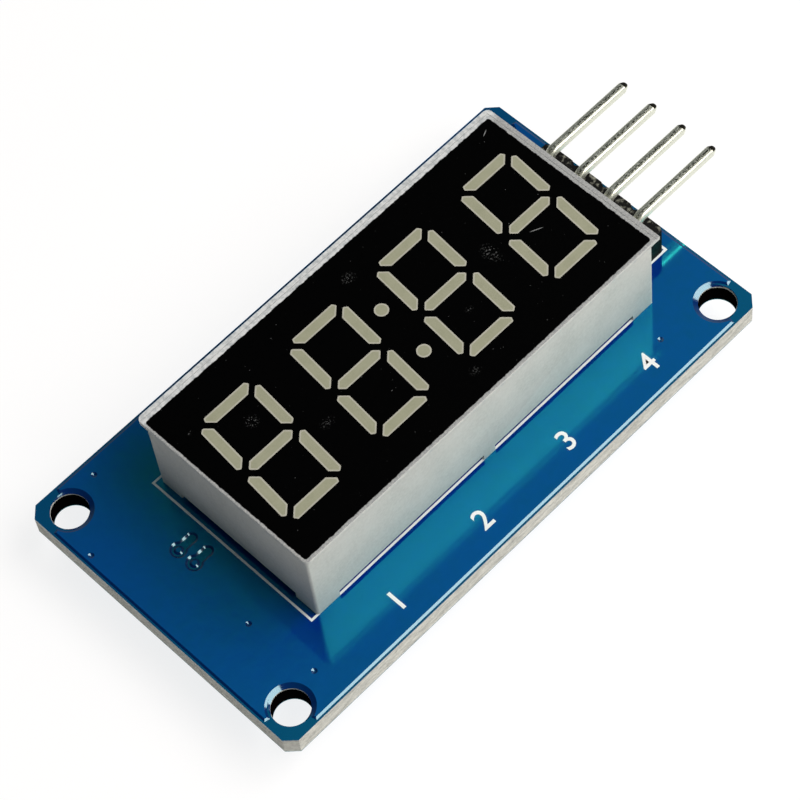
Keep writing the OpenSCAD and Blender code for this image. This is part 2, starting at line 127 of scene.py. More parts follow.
class BoardLook(bpy.types.PropertyGroup):
    mask_t: size("Mask thickness", "Thickness of the solder mask on each face of the laminate", 0.05)
    pour_inset: size("Pour inset", "Bare strip between the copper pour and the board's edge", 0.13)
    pour_t: size("Pour step", "Height of the copper pour's step under the mask", 0.08)
    pour_slope: size("Pour slope", "Width of the sloped mask along the pour's edge", 0.15)
    fine_slope: size("Track slope", "Width of the sloped mask along the tracks of the underside", 0.08)
    hole_clear: size("Hole clearance", "Radius kept free of copper round a mounting hole", 1.43)
    dish_w: size("Dish width", "Width of the sunk rim round a mounting hole", 0.18)
    dish_t: size("Dish depth", "Depth of the sunk rim round a mounting hole", 0.095)
    rim_t: size("Hole rim", "Height of the pale cut at the top of a drilled hole", 0.11)
    track_w: size("Track width", "Width of a copper track", 0.25)
    moat_w: size("Moat width", "Bare strip on each side of a track", 0.2)
    pad_t: size("Pad thickness", "Thickness of the tinned pads", 0.05)
    pad_lip: size("Pad lip", "Tin that shows round a solder joint", 0.06)
    ink_t: size("Ink thickness", "Thickness of the printed ink lines", 0.02)
    ink_w: size("Ink line", "Width of the printed ink lines", 0.18)
    numeral_h: size("Numeral height", "Height of the printed digit numbers", 1.45)
    numeral_y: size("Numeral place", "Height of the digit numbers' foot above the near edge", 1.45)
    mask: tint("Solder mask", "Blue of the solder mask over copper", "#001280")
    mask_deep: tint("Solder mask, deep", "Blue of the mask over bare laminate", "#001660")
    mask_shine: tint("Copper shine", "Tint of what the copper under the mask mirrors", "#30E1D7")
    mask_step: tint("Solder mask, step", "Blue of the mask on the slopes of the copper", "#002C60")
    ink: tint("Ink", "White of the printed ink", "#E9EEF0")
    laminate: tint("Laminate", "Cut edge of the glass laminate", "#D2D2C8")
    laminate_dark: tint("Laminate, dark", "Dark fibres in the laminate's cut edge", "#84867F")


class DisplayLook(bpy.types.PropertyGroup):
    housing_edge: size("Housing edge", "Rounding of the housing's moulded edges", 0.12)
    lens_rim: size("Lens rim", "Pale rim round each segment", 0.1)
    film_edge: size("Film edge", "Rounding of the film's edges", 0.06)
    film_lip: size("Film lip", "Width of the strip beyond the groove in the film", 0.3)
    print_left: size("Print, plain end", "Unprinted film at the plain end", 0.18)
    print_near: size("Print, below digits", "Unprinted film below the digits", 0.23)
    print_right: size("Print, header end", "Unprinted film at the header end", 0.54)
    print_far: size("Print, above digits", "Unprinted film above the digits", 0.6)
    print_cut: size("Print corner", "Cut at the corners of the black print", 0.12)
    housing: tint("Housing", "Light grey of the moulded housing", "#C8C9C2")
    film: tint("Film", "Grey of the unprinted film", "#B2B4B2")
    print_black: tint("Print", "Black of the print on the film", "#010101")
    lens: tint("Lens", "Olive grey of an unlit segment", "#9D9F87")
    rim: tint("Lens rim", "Pale rim of a segment", "#B4B4A6")


class MetalLook(bpy.types.PropertyGroup):
    pin_edge: size("Pin edge", "Rounding along the header pins", 0.17)
    pin_cut: size("Pin tip", "Length of the dark cut at a pin's tip", 0.4)
    lead_d: size("Display lead", "Diameter of a display lead", 0.5)
    pad_d: size("Pad", "Diameter of a round solder pad", 1.5)
    solder_h: size("Solder height", "Height of a solder joint", 0.8)
    chip_lead_w: size("Chip lead width", "Width of a chip lead", 0.41)
    chip_lead_t: size("Chip lead thickness", "Thickness of a chip lead", 0.25)
    chip_foot: size("Chip lead foot", "Length of a chip lead's foot", 0.75)
    lead_edge: size("Lead edge", "Rounding along the chip's leads", 0.03)
    tin: tint("Tin", "Bright tin on pins and leads", "#DFE1D2")
    solder: tint("Solder", "Grey of the solder joints", "#C9CCCF")


class PlasticLook(bpy.types.PropertyGroup):
    header_edge: size("Header edge", "Rounding of the header cells' edges", 0.1)
    notch: size("Header notch", "Depth of the notches between the cells on the pins' side", 0.2)
    chip_edge: size("Chip edge", "Rounding of the chip body's edges", 0.05)
    block_edge: size("Small part edge", "Rounding of the small parts' edges", 0.03)
    header: tint("Header", "Black of the header body", "#060606")
    chip: tint("Chip", "Charcoal of the chip's body", "#26272A")
    resistor: tint("Resistor glaze", "Black glaze of a resistor", "#141519")
    capacitor: tint("Capacitor", "Tan of a capacitor", "#A98A68")


class StageLook(bpy.types.PropertyGroup):
    key: level("Key light", "Level of the key light on a surface that faces it", 1.36)
    walls: level("Walls", "Level of the studio's walls on the lamp's side", 0.62)
    panel: level("Panel", "Level of the panel that the board's gloss mirrors", 0.385)
    under: level("Under light", "Level of the light on the underside", 0.6)
    lens: FloatProperty(name="Lens", description="Camera's focal length in millimetres", default=136.53, min=1.0)


GROUPS = {
    "board": BoardLook,
    "display": DisplayLook,
    "metal": MetalLook,
    "plastic": PlasticLook,
    "stage": StageLook,
}


def settings(group):
    """The scene's property group of that short name."""
    return getattr(bpy.context.scene, f"module_{group}")


def in_mm(group):
    """The sizes of a property group in millimetres."""
    values = {name: getattr(settings(group), name) for name in GROUPS[group].__annotations__}
    return SimpleNamespace(**{name: value / MM for name, value in values.items() if isinstance(value, float)})


# ---- Materials ----


def add_node(tree, kind, inputs=(), **options):
    """Adds a node with its settings and links, and gives its outputs. A bare kind is a shader node's.

    The inputs come in order or by name. Each holds a value, the socket that feeds it, or a list of
    such sockets.
    """
    made = tree.nodes.new(kind if "Node" in kind else f"ShaderNode{kind}")
    for name, value in options.items():
        setattr(made, name, value)
    for socket, value in inputs.items() if isinstance(inputs, dict) else enumerate(inputs):
        for source in value if isinstance(value, list) else [value]:
            if isinstance(source, bpy.types.NodeSocket):
                tree.links.new(source, made.inputs[socket])
            else:
                made.inputs[socket].default_value = source
    return made.outputs


def blank(name):
    """An empty material, and add_node for its tree."""
    material = bpy.data.materials.new(name)
    material.use_nodes = True
    material.node_tree.nodes.clear()
    return material, partial(add_node, material.node_tree)


def look(name):
    """The material of that name, made when it is first asked for."""
    if name in bpy.data.materials:
        return bpy.data.materials[name]
    material, node = blank(name)
    place = node("TexCoord")["Object"]
    inputs = DRAWN[name](node, place) if name in DRAWN else finish(node, place, *FINISHES[name])
    surface = node("BsdfPrincipled", inputs)[0]
    node("OutputMaterial", {"Surface": surface})
    return material


def colour_of(value):
    """A colour from its hex value, or from the group and property that hold it."""
    if value.startswith("#"):
        return linear(value)
    group, name = value.split(".")
    return getattr(settings(group), name)


# Finishes that several pieces share.
PAD_TIN = "pad_solder_levelled"
INK = "epoxy_ink_screen_printed"
LEAD_TIN = "copper_lead_tin_plated"
SOLDER = "tin_solder_frozen"

METAL = {"Metallic": 1.0}
# Each finish: colour, darker colour, grain in mm, mottle in mm, share of the darker colour, relief
# and roughness. Then, where they differ, the shader's other inputs, how the pattern is stretched,
# and the part of the noise that the mottle spreads over.
FINISHES = {
    # Epoxy solder mask, curtain coated over polished copper: the clear blue layer lets the copper
    # mirror what stands beside it in a cyan tint, which the high IOR and the tint stand for.
    "solder_mask_over_copper": (
        "board.mask", "board.mask_deep", 0.9, 7, 0.4, 0.02, (0.08, 0.11),
        {"IOR": 2.3, "Specular IOR Level": 0.8, "Specular Tint": "board.mask_shine"},
    ),
    # The same mask over bare laminate, a shade deeper and even in colour.
    "solder_mask_over_laminate": (
        "board.mask_deep", None, 0.9, 7, 0.5, 0.02, (0.08, 0.1),
        {"IOR": 2.2, "Specular IOR Level": 0.85, "Specular Tint": "board.mask_shine"},
    ),
    # The mask where it runs down over a step in the copper: thin, with a pale gloss.
    "solder_mask_over_step": (
        "board.mask_step", "board.mask_deep", 0.9, 2, 0.5, 0.02, (0.1, 0.13),
        {"IOR": 2.0, "Specular Tint": "#C4F0F6"},
    ),
    # Epoxy ink, screen printed: matt white with a slightly ragged cover.
    "epoxy_ink_screen_printed": ("board.ink", "board.laminate", 0.12, 0.6, 0.35, 0.2, (0.5, 0.7)),
    # Glass and epoxy laminate, routed: pale and rough, with darker fibre bundles along the edge.
    "glass_laminate_routed": (
        "board.laminate", "board.laminate_dark", 0.2, 1.1, 0.9, 0.6, (0.6, 0.85), {}, (1, 1, 4),
    ),
    # The same laminate inside a drilled hole, painted near black as the shade in the hole, and dull.
    "glass_laminate_drilled": ("#060505", "#020202", 0.15, 2, 0.5, 0.3, (0.8, 0.95), {"Specular IOR Level": 0.0}),
    # Hot air levelled solder on a copper pad: bright, slightly domed and uneven.
    "pad_solder_levelled": ("#CFD1D2", "#A4A7A9", 0.3, 0.8, 0.6, 0.15, (0.16, 0.3), METAL),
    # Injection moulded ABS: light grey, satin, with a faint cloudy flow in it.
    "abs_moulded_grey": ("display.housing", "#A4A7A0", 0.2, 2.4, 0.45, 0.1, (0.42, 0.52)),
    # Polyester film, die cut: its unprinted edge scatters to a pale streaky grey.
    "polyester_film_die_cut": ("display.housing", "#A2A7A8", 0.09, 0.5, 0.8, 0.3, (0.35, 0.5)),
    # Epoxy with a diffusing filler, cast: milky olive grey, dull, faintly cloudy.
    "diffused_epoxy_cast": ("display.lens", "#8A8D74", 0.12, 0.7, 0.5, 0.08, (0.5, 0.62)),
    # The same epoxy where it thins against the pale wall of its well.
    "diffused_epoxy_rim": ("display.rim", "#9C9C8C", 0.1, 0.5, 0.5, 0.1, (0.5, 0.62)),
    # White solder mask on laminate: even and matt.
    "white_mask_coated": ("#E4E4DC", "#CFCFC4", 0.2, 2, 0.5, 0.1, (0.4, 0.5)),
    # Bare semiconductor die, sawn: small, yellowish, glossy.
    "gallium_die_sawn": ("#B79A3C", "#7D6A2C", 0.05, 2, 0.5, 0.1, (0.2, 0.3)),
    # Epoxy, poured behind the lamp board: milky grey with a wet gloss.
    "epoxy_potting_poured": ("#B9BBB4", "#A3A69D", 0.6, 2, 0.5, 0.05, (0.12, 0.2)),
    # The pins' tips, cut and pressed: bare, tarnished brass, nearly black and dull.
    "brass_cut_tarnished": ("#26251D", "#0F0F0C", 0.1, 2, 0.5, 0.1, (0.45, 0.6), METAL),
    # Copper leads, stamped and tin plated: softer and greyer than the pins.
    "copper_lead_tin_plated": ("metal.tin", "#9C9D97", 0.1, 0.4, 0.5, 0.1, (0.25, 0.38), METAL),
    # Tin and silver solder, frozen from liquid: bright with a faint frosted grain.
    "tin_solder_frozen": ("metal.solder", "#9DA0A3", 0.15, 0.5, 0.5, 0.12, (0.18, 0.34), METAL),
    # Glass filled nylon, moulded: black and dull.
    "nylon_moulded_black": (
        "plastic.header", "#0C0D0C", 0.3, 0.5, 0.5, 0.3, (0.5, 0.7), {"Specular IOR Level": 0.05},
    ),
    # The same nylon on the cells' tops, with a painted sheen: pale highlight in small patches.
    "nylon_pressed_flat": (
        "plastic.header", "#8A8B80", 0.3, 0.5, 0.85, 0.3, (0.5, 0.7), {"Specular IOR Level": 0.15},
        (1, 1, 1), (0.27, 0.38),
    ),
    # Filled epoxy, moulded: matt charcoal with a fine sandy grain.
    "epoxy_compound_moulded": ("plastic.chip", "#3B3C3F", 0.09, 0.5, 0.6, 0.3, (0.55, 0.72)),
    # Glass glaze, fired over a thick film resistor: glossy black.
    "glass_glaze_fired": ("plastic.resistor", "#22242A", 0.1, 2, 0.5, 0.04, (0.12, 0.22)),
    # Barium ceramic, fired: tan, satin, faintly speckled.
    "ceramic_fired_tan": ("plastic.capacitor", "#8A6E50", 0.08, 0.4, 0.5, 0.08, (0.38, 0.5)),
}


CLOUDY = 0.6  # how rough every noise is
MOST = (0.3, 0.7)  # the values between which a noise mostly lies


def finish(
    node, place, colour, dark, grain_mm, mottle_mm, amount, bump, rough,
    shader=None, stretch=(1, 1, 1), spread=(0.12, 0.4),
):
    """The shader's inputs for a finish with a broad mottle in colour and a fine grain in gloss and relief."""
    run = node("Mapping", {"Vector": place, "Scale": stretch})[0]
    grain = {"Vector": run, "Scale": 1 / (grain_mm * MM), "Detail": 4.0, "Roughness": CLOUDY}
    grain = node("TexNoise", grain)["Fac"]
    base = colour_of(colour)
    if dark:
        mottle = {"Vector": run, "Scale": 1 / (mottle_mm * MM), "Detail": 3.0, "Roughness": CLOUDY}
        patches = node("Math", (node("TexNoise", mottle)["Fac"], grain), operation="MULTIPLY")[0]
        share = node("MapRange", (patches, *spread, 0.0, amount))[0]
        base = node("Mix", {0: share, 6: base, 7: colour_of(dark)}, data_type="RGBA")[2]
    relief = {"Strength": bump, "Distance": grain_mm * MM * 0.2, "Height": grain}
    inputs = {"Base Color": base, "Normal": node("Bump", relief)[0]}
    inputs["Roughness"] = node("MapRange", (grain, *MOST, *rough))[0]
    for socket, value in (shader or {}).items():
        inputs[socket] = colour_of(value) if isinstance(value, str) else value
    return inputs


# Thin places in the black print: x, y, half width, half height, strength.
SMUDGES = (
    (-9.19, 2.46, 0.55, 0.5, 0.5),
    (-4.35, 5.82, 0.12, 0.1, 1.0),
    (1.96, 5.38, 0.6, 0.5, 0.42),
    (9.15, 0.07, 0.6, 0.9, 0.5),
    (-6.2, -1.0, 0.6, 0.45, 0.3),
    (5.3, -1.8, 0.35, 0.3, 0.4),
    (2.4, -5.1, 0.5, 0.4, 0.3),
    (-12.3, 4.7, 0.2, 0.16, 0.5),
)
# Fine scratches in it: the two ends. Then their half width and strength.
SCRATCHES = (((11.85, -0.66), (12.75, -1.08)), ((15.2, 6.5), (15.75, 6.75)))
SCRATCH_W, SCRATCH_STRENGTH = 0.035, 0.75
RAG = 0.05 * MM  # how far the print's border wanders, and how soft it is
BLUR = 0.02 * MM


def printed_film(node, place):
    # Polyester film with a screen printed field: a dense black that mirrors little, ragged at its
    # border, with a grey margin, thin speckled places, two scratches and fine dust.
    c = settings("display")
    low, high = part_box("front_film")
    noises = []
    for across_mm, detail in ((0.3, 3.0), (0.11, 3.0), (0.16, 1.0)):
        lumps = {"Vector": place, "Scale": 1 / (across_mm * MM), "Detail": detail, "Roughness": CLOUDY}
        noises.append(node("TexNoise", lumps)["Fac"])
    rag, fine, dust = noises

    # How far a place lies beyond the black field, whose corners are cut.
    first = Vector((low.x + c.print_left, low.y + c.print_near, 0))
    last = Vector((high.x - c.print_right, high.y - c.print_far, 0))
    over = node("VectorMath", (place, (first + last) / 2), operation="SUBTRACT")[0]
    over = node("VectorMath", (over,), operation="ABSOLUTE")[0]
    over = node("VectorMath", (over, (last - first) / 2), operation="SUBTRACT")[0]
    x, y, _ = node("SeparateXYZ", (over,))
    corner = node("Math", (x, y), operation="ADD")[0]
    corner = node("Math", (corner, c.print_cut), operation="ADD")[0]
    edge = node("Math", (x, y), operation="MAXIMUM")[0]
    edge = node("Math", (edge, corner), operation="MAXIMUM")[0]
    ragged = node("MapRange", (rag, 0.2, 0.8, -RAG, RAG))[0]
    edge = node("Math", (edge, ragged), operation="ADD")[0]
    bare = node("MapRange", (edge, -BLUR, BLUR))[0]

    def spot(x, y, half_x, half_y, turn, inner, strength):
        """An ellipse that fades out from its inner part to its rim."""
        inputs = {"Vector": place, "Location": (x * MM, y * MM, high.z), "Rotation": (0, 0, turn)}
        inputs["Scale"] = (half_x * MM, half_y * MM, 1.0)
        local = node("Mapping", inputs, vector_type="TEXTURE")[0]
        away = node("VectorMath", (local,), operation="LENGTH")["Value"]
        return node("MapRange", (away, inner, 1.0, strength, 0.0))[0]

    # How worn the print is: by dust all over, in speckled smudges and along the scratches.
    speck = node("MapRange", (fine, 0.56, 0.66))[0]
    worn = [node("MapRange", (dust, 0.79, 0.83, 0.0, 0.35))[0]]
    for *ellipse, strength in SMUDGES:
        shape = spot(*ellipse, 0.0, 0.1, strength)
        worn.append(node("Math", (shape, speck), operation="MULTIPLY")[0])
    for start, end in SCRATCHES:
        middle, run = (Vector(start) + Vector(end)) / 2, Vector(end) - Vector(start)
        turn = math.atan2(run.y, run.x)
        worn.append(spot(*middle, run.length / 2, SCRATCH_W, turn, 0.7, SCRATCH_STRENGTH))
    thin = worn[0]
    for patch in worn[1:]:
        thin = node("Math", (thin, patch), operation="MAXIMUM")[0]
    thin = node("Math", (thin, 0.5), operation="MULTIPLY")[0]

    # The grey margin turns pale and streaky beyond the digits' tops.
    far = node("SeparateXYZ", (place,))["Y"]
    pale = node("MapRange", (far, last.y - 0.5 * MM, last.y))[0]
    cloudy = node("MapRange", (fine, 0.35, 0.65))[0]
    streaky = node("MapRange", (rag, 0.35, 0.6))[0]
    grey = node("Mix", {0: cloudy, 6: linear("#8E9294"), 7: c.film}, data_type="RGBA")[2]
    streaks = node("Mix", {0: streaky, 6: linear("#B0B6B8"), 7: linear("#D6DADA")}, data_type="RGBA")[2]
    margin = node("Mix", {0: pale, 6: grey, 7: streaks}, data_type="RGBA")[2]
    black = node("Mix", {0: thin, 6: c.print_black, 7: linear("#C8CCCC")}, data_type="RGBA")[2]
    return {
        "Base Color": node("Mix", {0: bare, 6: black, 7: margin}, data_type="RGBA")[2],
        "Roughness": node("MapRange", (rag, *MOST, 0.3, 0.4))[0],
        "Normal": node("Bump", {"Strength": 0.05, "Distance": 0.02 * MM, "Height": fine})[0],
        "Specular IOR Level": 0.03,
    }


def bright_tin(node, place):
    # Square brass wire, drawn and plated with bright tin: pale and satin toward its edges, with a painted dark
    # reflection along the middle of each flat, broken up by the drawing marks.
    low, high = box_mm("header_pin_1")
    pitch = low.y - box_mm("header_pin_2")[0].y
    along = node("Mapping", {"Vector": place, "Scale": (0.45, 1, 1)})[0]
    marks = {"Vector": along, "Scale": 1 / (0.06 * MM), "Detail": 3.0, "Roughness": CLOUDY}
    marks = node("TexNoise", marks)["Fac"]
    # How far a place lies from the middle of its pin, in pitches.
    y = node("SeparateXYZ", (place,))["Y"]
    y = node("Math", (y, (low.y + high.y) / 2 * MM), operation="SUBTRACT")[0]
    turns = node("Math", (y, pitch * MM), operation="DIVIDE")[0]
    whole = node("Math", (turns,), operation="ROUND")[0]
    off = node("Math", (turns, whole), operation="SUBTRACT")[0]
    off = node("Math", (off,), operation="ABSOLUTE")[0]
    # A painted dark reflection: olive dark down the middle of each pin's flats, broken by the marks' noise.
    middle = node("MapRange", (off, 0.03 / pitch, 0.19 / pitch, 1.0, 0.0))[0]
    broken = node("MapRange", (marks, 0.45, 0.52))[0]
    dark = node("Math", (middle, broken), operation="MULTIPLY")[0]
    mixed = {0: dark, 6: settings("metal").tin, 7: linear("#33361A")}
    return {
        "Base Color": node("Mix", mixed, data_type="RGBA")[2],
        "Roughness": node("MapRange", (dark, 0.0, 1.0, 0.42, 0.3))[0],
        "Normal": node("Bump", {"Strength": 0.5, "Distance": 0.02 * MM, "Height": marks})[0],
        "Metallic": 1.0,
    }


DRAWN = {"polyester_film_screen_printed": printed_film, "brass_wire_bright_tin": bright_tin}


# ---- Meshes ----


def box_mm(node):
    """(lowest, highest) corner of a CAD node in millimetres."""
    low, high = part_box(node)
    return low / MM, high / MM


def middle_mm(node):
    low, high = box_mm(node)
    return (low + high) / 2


def cad_copy(node):
    """A CAD node in millimetres, with its triangles joined and its flat faces merged."""
    shape = bmesh.new()
    shape.from_mesh(frame["nodes"][node].data)
    bmesh.ops.scale(shape, vec=(1 / MM,) * 3, verts=shape.verts)
    bmesh.ops.remove_doubles(shape, verts=shape.verts, dist=1e-4)
    bmesh.ops.dissolve_limit(shape, angle_limit=FLAT, verts=shape.verts, edges=shape.edges)
    shade_curves(shape)
    return shape


def shade_curves(shape, steepest=22):
    """Shades smooth the faces that meet a neighbour at a shallow angle, as the facets of a curve do."""
    for face in shape.faces:
        angles = [e.calc_face_angle(0.0) for e in face.edges if e.is_manifold]
        face.smooth = any(FLAT < a < math.radians(steepest) for a in angles)


def round_edges(shape, width, steps=2, chosen=lambda edge: True):
    """Rounds the chosen sharp edges."""
    edges = [e for e in shape.edges if e.is_manifold and e.calc_face_angle(0.0) > SHARP and chosen(e)]
    made = bmesh.ops.bevel(
        shape, geom=edges, offset=width, offset_type="OFFSET", segments=steps, profile=0.5,
        affect="EDGES", clamp_overlap=True,
    )
    for face in made["faces"]:
        face.smooth = True
    return shape


def set_material(shape, index, chosen):
    for face in shape.faces:
        if chosen(face.calc_center_median(), face.normal):
            face.material_index = index


def slice_at(shape, point, outward, cut=False):
    """Slices the faces along a plane. A cut takes away what lies beyond it and closes the shape."""
    geometry = shape.verts[:] + shape.edges[:] + shape.faces[:]
    bmesh.ops.bisect_plane(shape, geom=geometry, plane_co=point, plane_no=outward, clear_outer=cut)
    if cut:
        bmesh.ops.holes_fill(shape, edges=[e for e in shape.edges if e.is_boundary], sides=0)
        bmesh.ops.recalc_face_normals(shape, faces=shape.faces)
    return shape


def to_mesh(name, shape):
    """A mesh from a shape that is then dropped."""
    mesh = bpy.data.meshes.new(name)
    shape.to_mesh(mesh)
    shape.free()
    return mesh


def from_mesh(mesh):
    """A shape from a mesh that is then dropped."""
    shape = bmesh.new()
    shape.from_mesh(mesh)
    bpy.data.meshes.remove(mesh)
    bmesh.ops.remove_doubles(shape, verts=shape.verts, dist=1e-5)
    return shape


def from_curve(curve):
    holder = bpy.data.objects.new("curve", curve)
    shape = from_mesh(bpy.data.meshes.new_from_object(holder))
    bpy.data.objects.remove(holder)
    bpy.data.curves.remove(curve)
    return shape


def add_object(name, data):
    made = bpy.data.objects.new(name, data)
    bpy.context.scene.collection.objects.link(made)
    return made


def add_piece(name, shape, slot, node, *materials):
    """Turns a shape in millimetres into a piece that rides on the frame, in the place of a node or None."""
    bmesh.ops.scale(shape, vec=(MM,) * 3, verts=shape.verts)
    for face in shape.faces:
        face.material_index = min(face.material_index, len(materials) - 1)
    for edge in shape.edges:
        edge.smooth = edge.is_manifold and edge.calc_face_angle(0.0) < SHARP
    mesh = to_mesh(name, shape)
    for material in materials:
        mesh.materials.append(look(material))
    piece = add_object(name, mesh)
    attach(piece, "root")
    if node:
        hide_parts(node)


def dress(node, material):
    """Gives a CAD node that stays as it is its finish."""
    kept = frame["nodes"][node]
    kept.data.materials.clear()
    kept.data.materials.append(look(material))


def plate(loops, middle, half, slope=0.0):
    """A plate that reaches half above and below its middle level, with edges that slope over a width.

    It is cut along loops, and a loop inside another is a hole.
    """
    curve = bpy.data.curves.new("loops", "CURVE")
    curve.dimensions = "2D"
    curve.fill_mode = "BOTH"
    curve.extrude = MM if slope else half
    curve.bevel_depth = slope
    curve.bevel_resolution = 0
    curve.offset = -slope
    for loop in loops:
        spline = curve.splines.new("POLY")
        spline.points.add(len(loop) - 1)
        for point, (x, y) in zip(spline.points, loop):
            point.co = (x, y, 0, 1)
        spline.use_cyclic_u = True
    shape = from_curve(curve)
    reach = max(v.co.z for v in shape.verts)
    bmesh.ops.scale(shape, vec=(1, 1, half / reach), verts=shape.verts)
    bmesh.ops.translate(shape, vec=(0, 0, middle), verts=shape.verts)
    bmesh.ops.recalc_face_normals(shape, faces=shape.faces)
    for face in shape.faces:
        face.smooth = abs(face.normal.z) < LEVEL
        face.material_index = int(slope > 0 and face.smooth)
    return shape


def lathe(profile, steps=32):
    """Turns a profile of (radius, height) points about Z. A point on the axis closes the shape there."""
    shape = bmesh.new()
    rings = []
    for r, z in profile:
        if r == 0:
            rings.append([shape.verts.new((0, 0, z))] * steps)
        else:
            angles = [2 * math.pi * k / steps for k in range(steps)]
            rings.append([shape.verts.new((r * math.cos(a), r * math.sin(a), z)) for a in angles])
    for lower, upper in zip(rings, rings[1:]):
        for k in range(steps):
            corners = [lower[k], lower[k - 1], upper[k - 1], upper[k]]
            face = shape.faces.new(sorted(set(corners), key=corners.index))
            face.smooth = True
    bmesh.ops.recalc_face_normals(shape, faces=shape.faces)
    return shape


def bar(side, width):
    """A bar with the given side view, (x, z) points, and a width along Y."""
    shape = bmesh.new()
    face = shape.faces.new([shape.verts.new((x, -width / 2, z)) for x, z in side])
    grown = bmesh.ops.extrude_face_region(shape, geom=[face])["geom"]
    verts = [g for g in grown if isinstance(g, bmesh.types.BMVert)]
    bmesh.ops.translate(shape, vec=(0, width, 0), verts=verts)
    bmesh.ops.recalc_face_normals(shape, faces=shape.faces)
    shade_curves(shape, steepest=35)
    return shape


def joined(shapes):
    """One shape from several."""
    whole = bmesh.new()
    for shape in shapes:
        mesh = to_mesh("part", shape)
        whole.from_mesh(mesh)
        bpy.data.meshes.remove(mesh)
    return whole


def moved(shape, x=0.0, y=0.0, z=0.0, turn=0.0, axis="Z"):
    """The shape turned about an axis, in degrees, and then moved."""
    matrix = Matrix.Rotation(math.radians(turn), 3, axis)
    bmesh.ops.rotate(shape, cent=(0, 0, 0), matrix=matrix, verts=shape.verts)
    bmesh.ops.translate(shape, vec=(x, y, z), verts=shape.verts)
    return shape


ROW_INPUTS = {
    "Part": "Geometry",
    "Count": "Int",
    "Pitch": "Float",
    "Rows apart": "Float",
    "Two rows": "Bool",
    "Finish": "Material",
}


def rows_tree():
    """Geometry nodes that repeat a part along a row, and in a second row that faces the other way."""
    tree = bpy.data.node_groups.new("parts_in_rows", "GeometryNodeTree")
    for name, kind in ROW_INPUTS.items():
        tree.interface.new_socket(name, in_out="INPUT", socket_type=f"NodeSocket{kind}")
    tree.interface.new_socket("Parts", in_out="OUTPUT", socket_type="NodeSocketGeometry")
    node = partial(add_node, tree)
    given = node("NodeGroupInput")
    gaps = node("Math", (given["Count"], 1.0), operation="SUBTRACT")[0]
    length = node("Math", (gaps, given["Pitch"]), operation="MULTIPLY")[0]
    first_x = node("Math", (length, -0.5), operation="MULTIPLY")[0]
    first_y = node("Math", (given["Rows apart"], 0.5), operation="MULTIPLY")[0]
    start = node("CombineXYZ", (first_x, first_y))[0]
    step = node("CombineXYZ", (given["Pitch"],))[0]
    line = {"Count": given["Count"], "Start Location": start, "Offset": step}
    line = node("GeometryNodeMeshLine", line, mode="OFFSET")[0]
    row = node("GeometryNodeInstanceOnPoints", {"Points": line, "Instance": given["Part"]})[0]
    other = node("GeometryNodeTransform", {"Geometry": row, "Rotation": (0, 0, math.pi)})[0]
    second = {"Switch": given["Two rows"], "True": other}
    second = node("GeometryNodeSwitch", second, input_type="GEOMETRY")[0]
    both = node("GeometryNodeJoinGeometry", ([row, second],))[0]
    real = node("GeometryNodeRealizeInstances", (both,))[0]
    done = node("GeometryNodeSetMaterial", {"Geometry": real, "Material": given["Finish"]})[0]
    node("NodeGroupOutput", (done,))
    return tree


def in_rows(shape, material, count, pitch, apart=None):
    """The part repeated along X in one row, or in two that lie apart and face away from each other."""
    tree = bpy.data.node_groups.get("parts_in_rows") or rows_tree()
    sockets = [item.identifier for item in tree.interface.items_tree if item.in_out == "INPUT"]
    mesh = to_mesh("part", shape)
    holder = add_object("part", mesh)
    modifier = holder.modifiers.new("rows", "NODES")
    modifier.node_group = tree
    values = (count, pitch, apart or 0.0, apart is not None, look(material))
    for socket, value in zip(sockets[1:], values):
        modifier[socket] = value
    graph = bpy.context.evaluated_depsgraph_get()
    result = bpy.data.meshes.new_from_object(holder.evaluated_get(graph), depsgraph=graph)
    holder.modifiers.remove(modifier)
    bpy.data.objects.remove(holder)
    bpy.data.meshes.remove(mesh)
    return from_mesh(result)


# ---- Outlines ----


def arc(x, y, r, start, end, step=7.5):
    """Points on a circle from one angle to another, in degrees."""
    count = max(2, round(abs(end - start) / step))
    angles = [math.radians(start + (end - start) * k / count) for k in range(count + 1)]
    return [(x + r * math.cos(a), y + r * math.sin(a)) for a in angles]


def ring(x, y, r, step=15):
    return arc(x, y, r, 0, 360, step)[:-1]


def rectangle(low_x, low_y, high_x, high_y):
    return [(low_x, low_y), (high_x, low_y), (high_x, high_y), (low_x, high_y)]


def oblong(half_x, half_y, x=0.0, y=0.0):
    """A rectangle round a point."""
    return rectangle(x - half_x, y - half_y, x + half_x, y + half_y)


def line_box(low, high, w, left=0.0, near=0.0, right=0.0, far=0.0):
    """The two loops of a line of width w round a box that is first grown on its four sides."""
    low_x, low_y, high_x, high_y = low[0] - left, low[1] - near, high[0] + right, high[1] + far
    return [rectangle(low_x, low_y, high_x, high_y), rectangle(low_x + w, low_y + w, high_x - w, high_y - w)]


def mitre(at, before, after, half):
    """The step from a line's bend to the outline's corner on its left, for a strip of even width."""
    first, second = (at - before).normalized(), (after - at).normalized()
    normals = Vector((-first.y, first.x)) + Vector((-second.y, second.x))
    return normals * half / (1 + first.dot(second))


def track(points, half, start_r, end_r):
    """The outline of a track along the points, with a round end of its own radius at each end."""
    points = [Vector(p) for p in points]
    steps = [mitre(at, before, after, half) for before, at, after in zip(points, points[1:], points[2:])]
    right = [tuple(at - step) for at, step in zip(points[1:], steps)]
    left = [tuple(at + step) for at, step in zip(points[1:], steps)]
    loop = []
    for here, there, r, bends in (
        (points[0], points[1], start_r, right),
        (points[-1], points[-2], end_r, left[::-1]),
    ):
        heading = math.degrees(math.atan2(there.y - here.y, there.x - here.x))
        half_open = math.degrees(math.asin(half / r))
        loop += arc(here.x, here.y, r, heading + half_open, heading + 360 - half_open, 15) + bends
    return loop


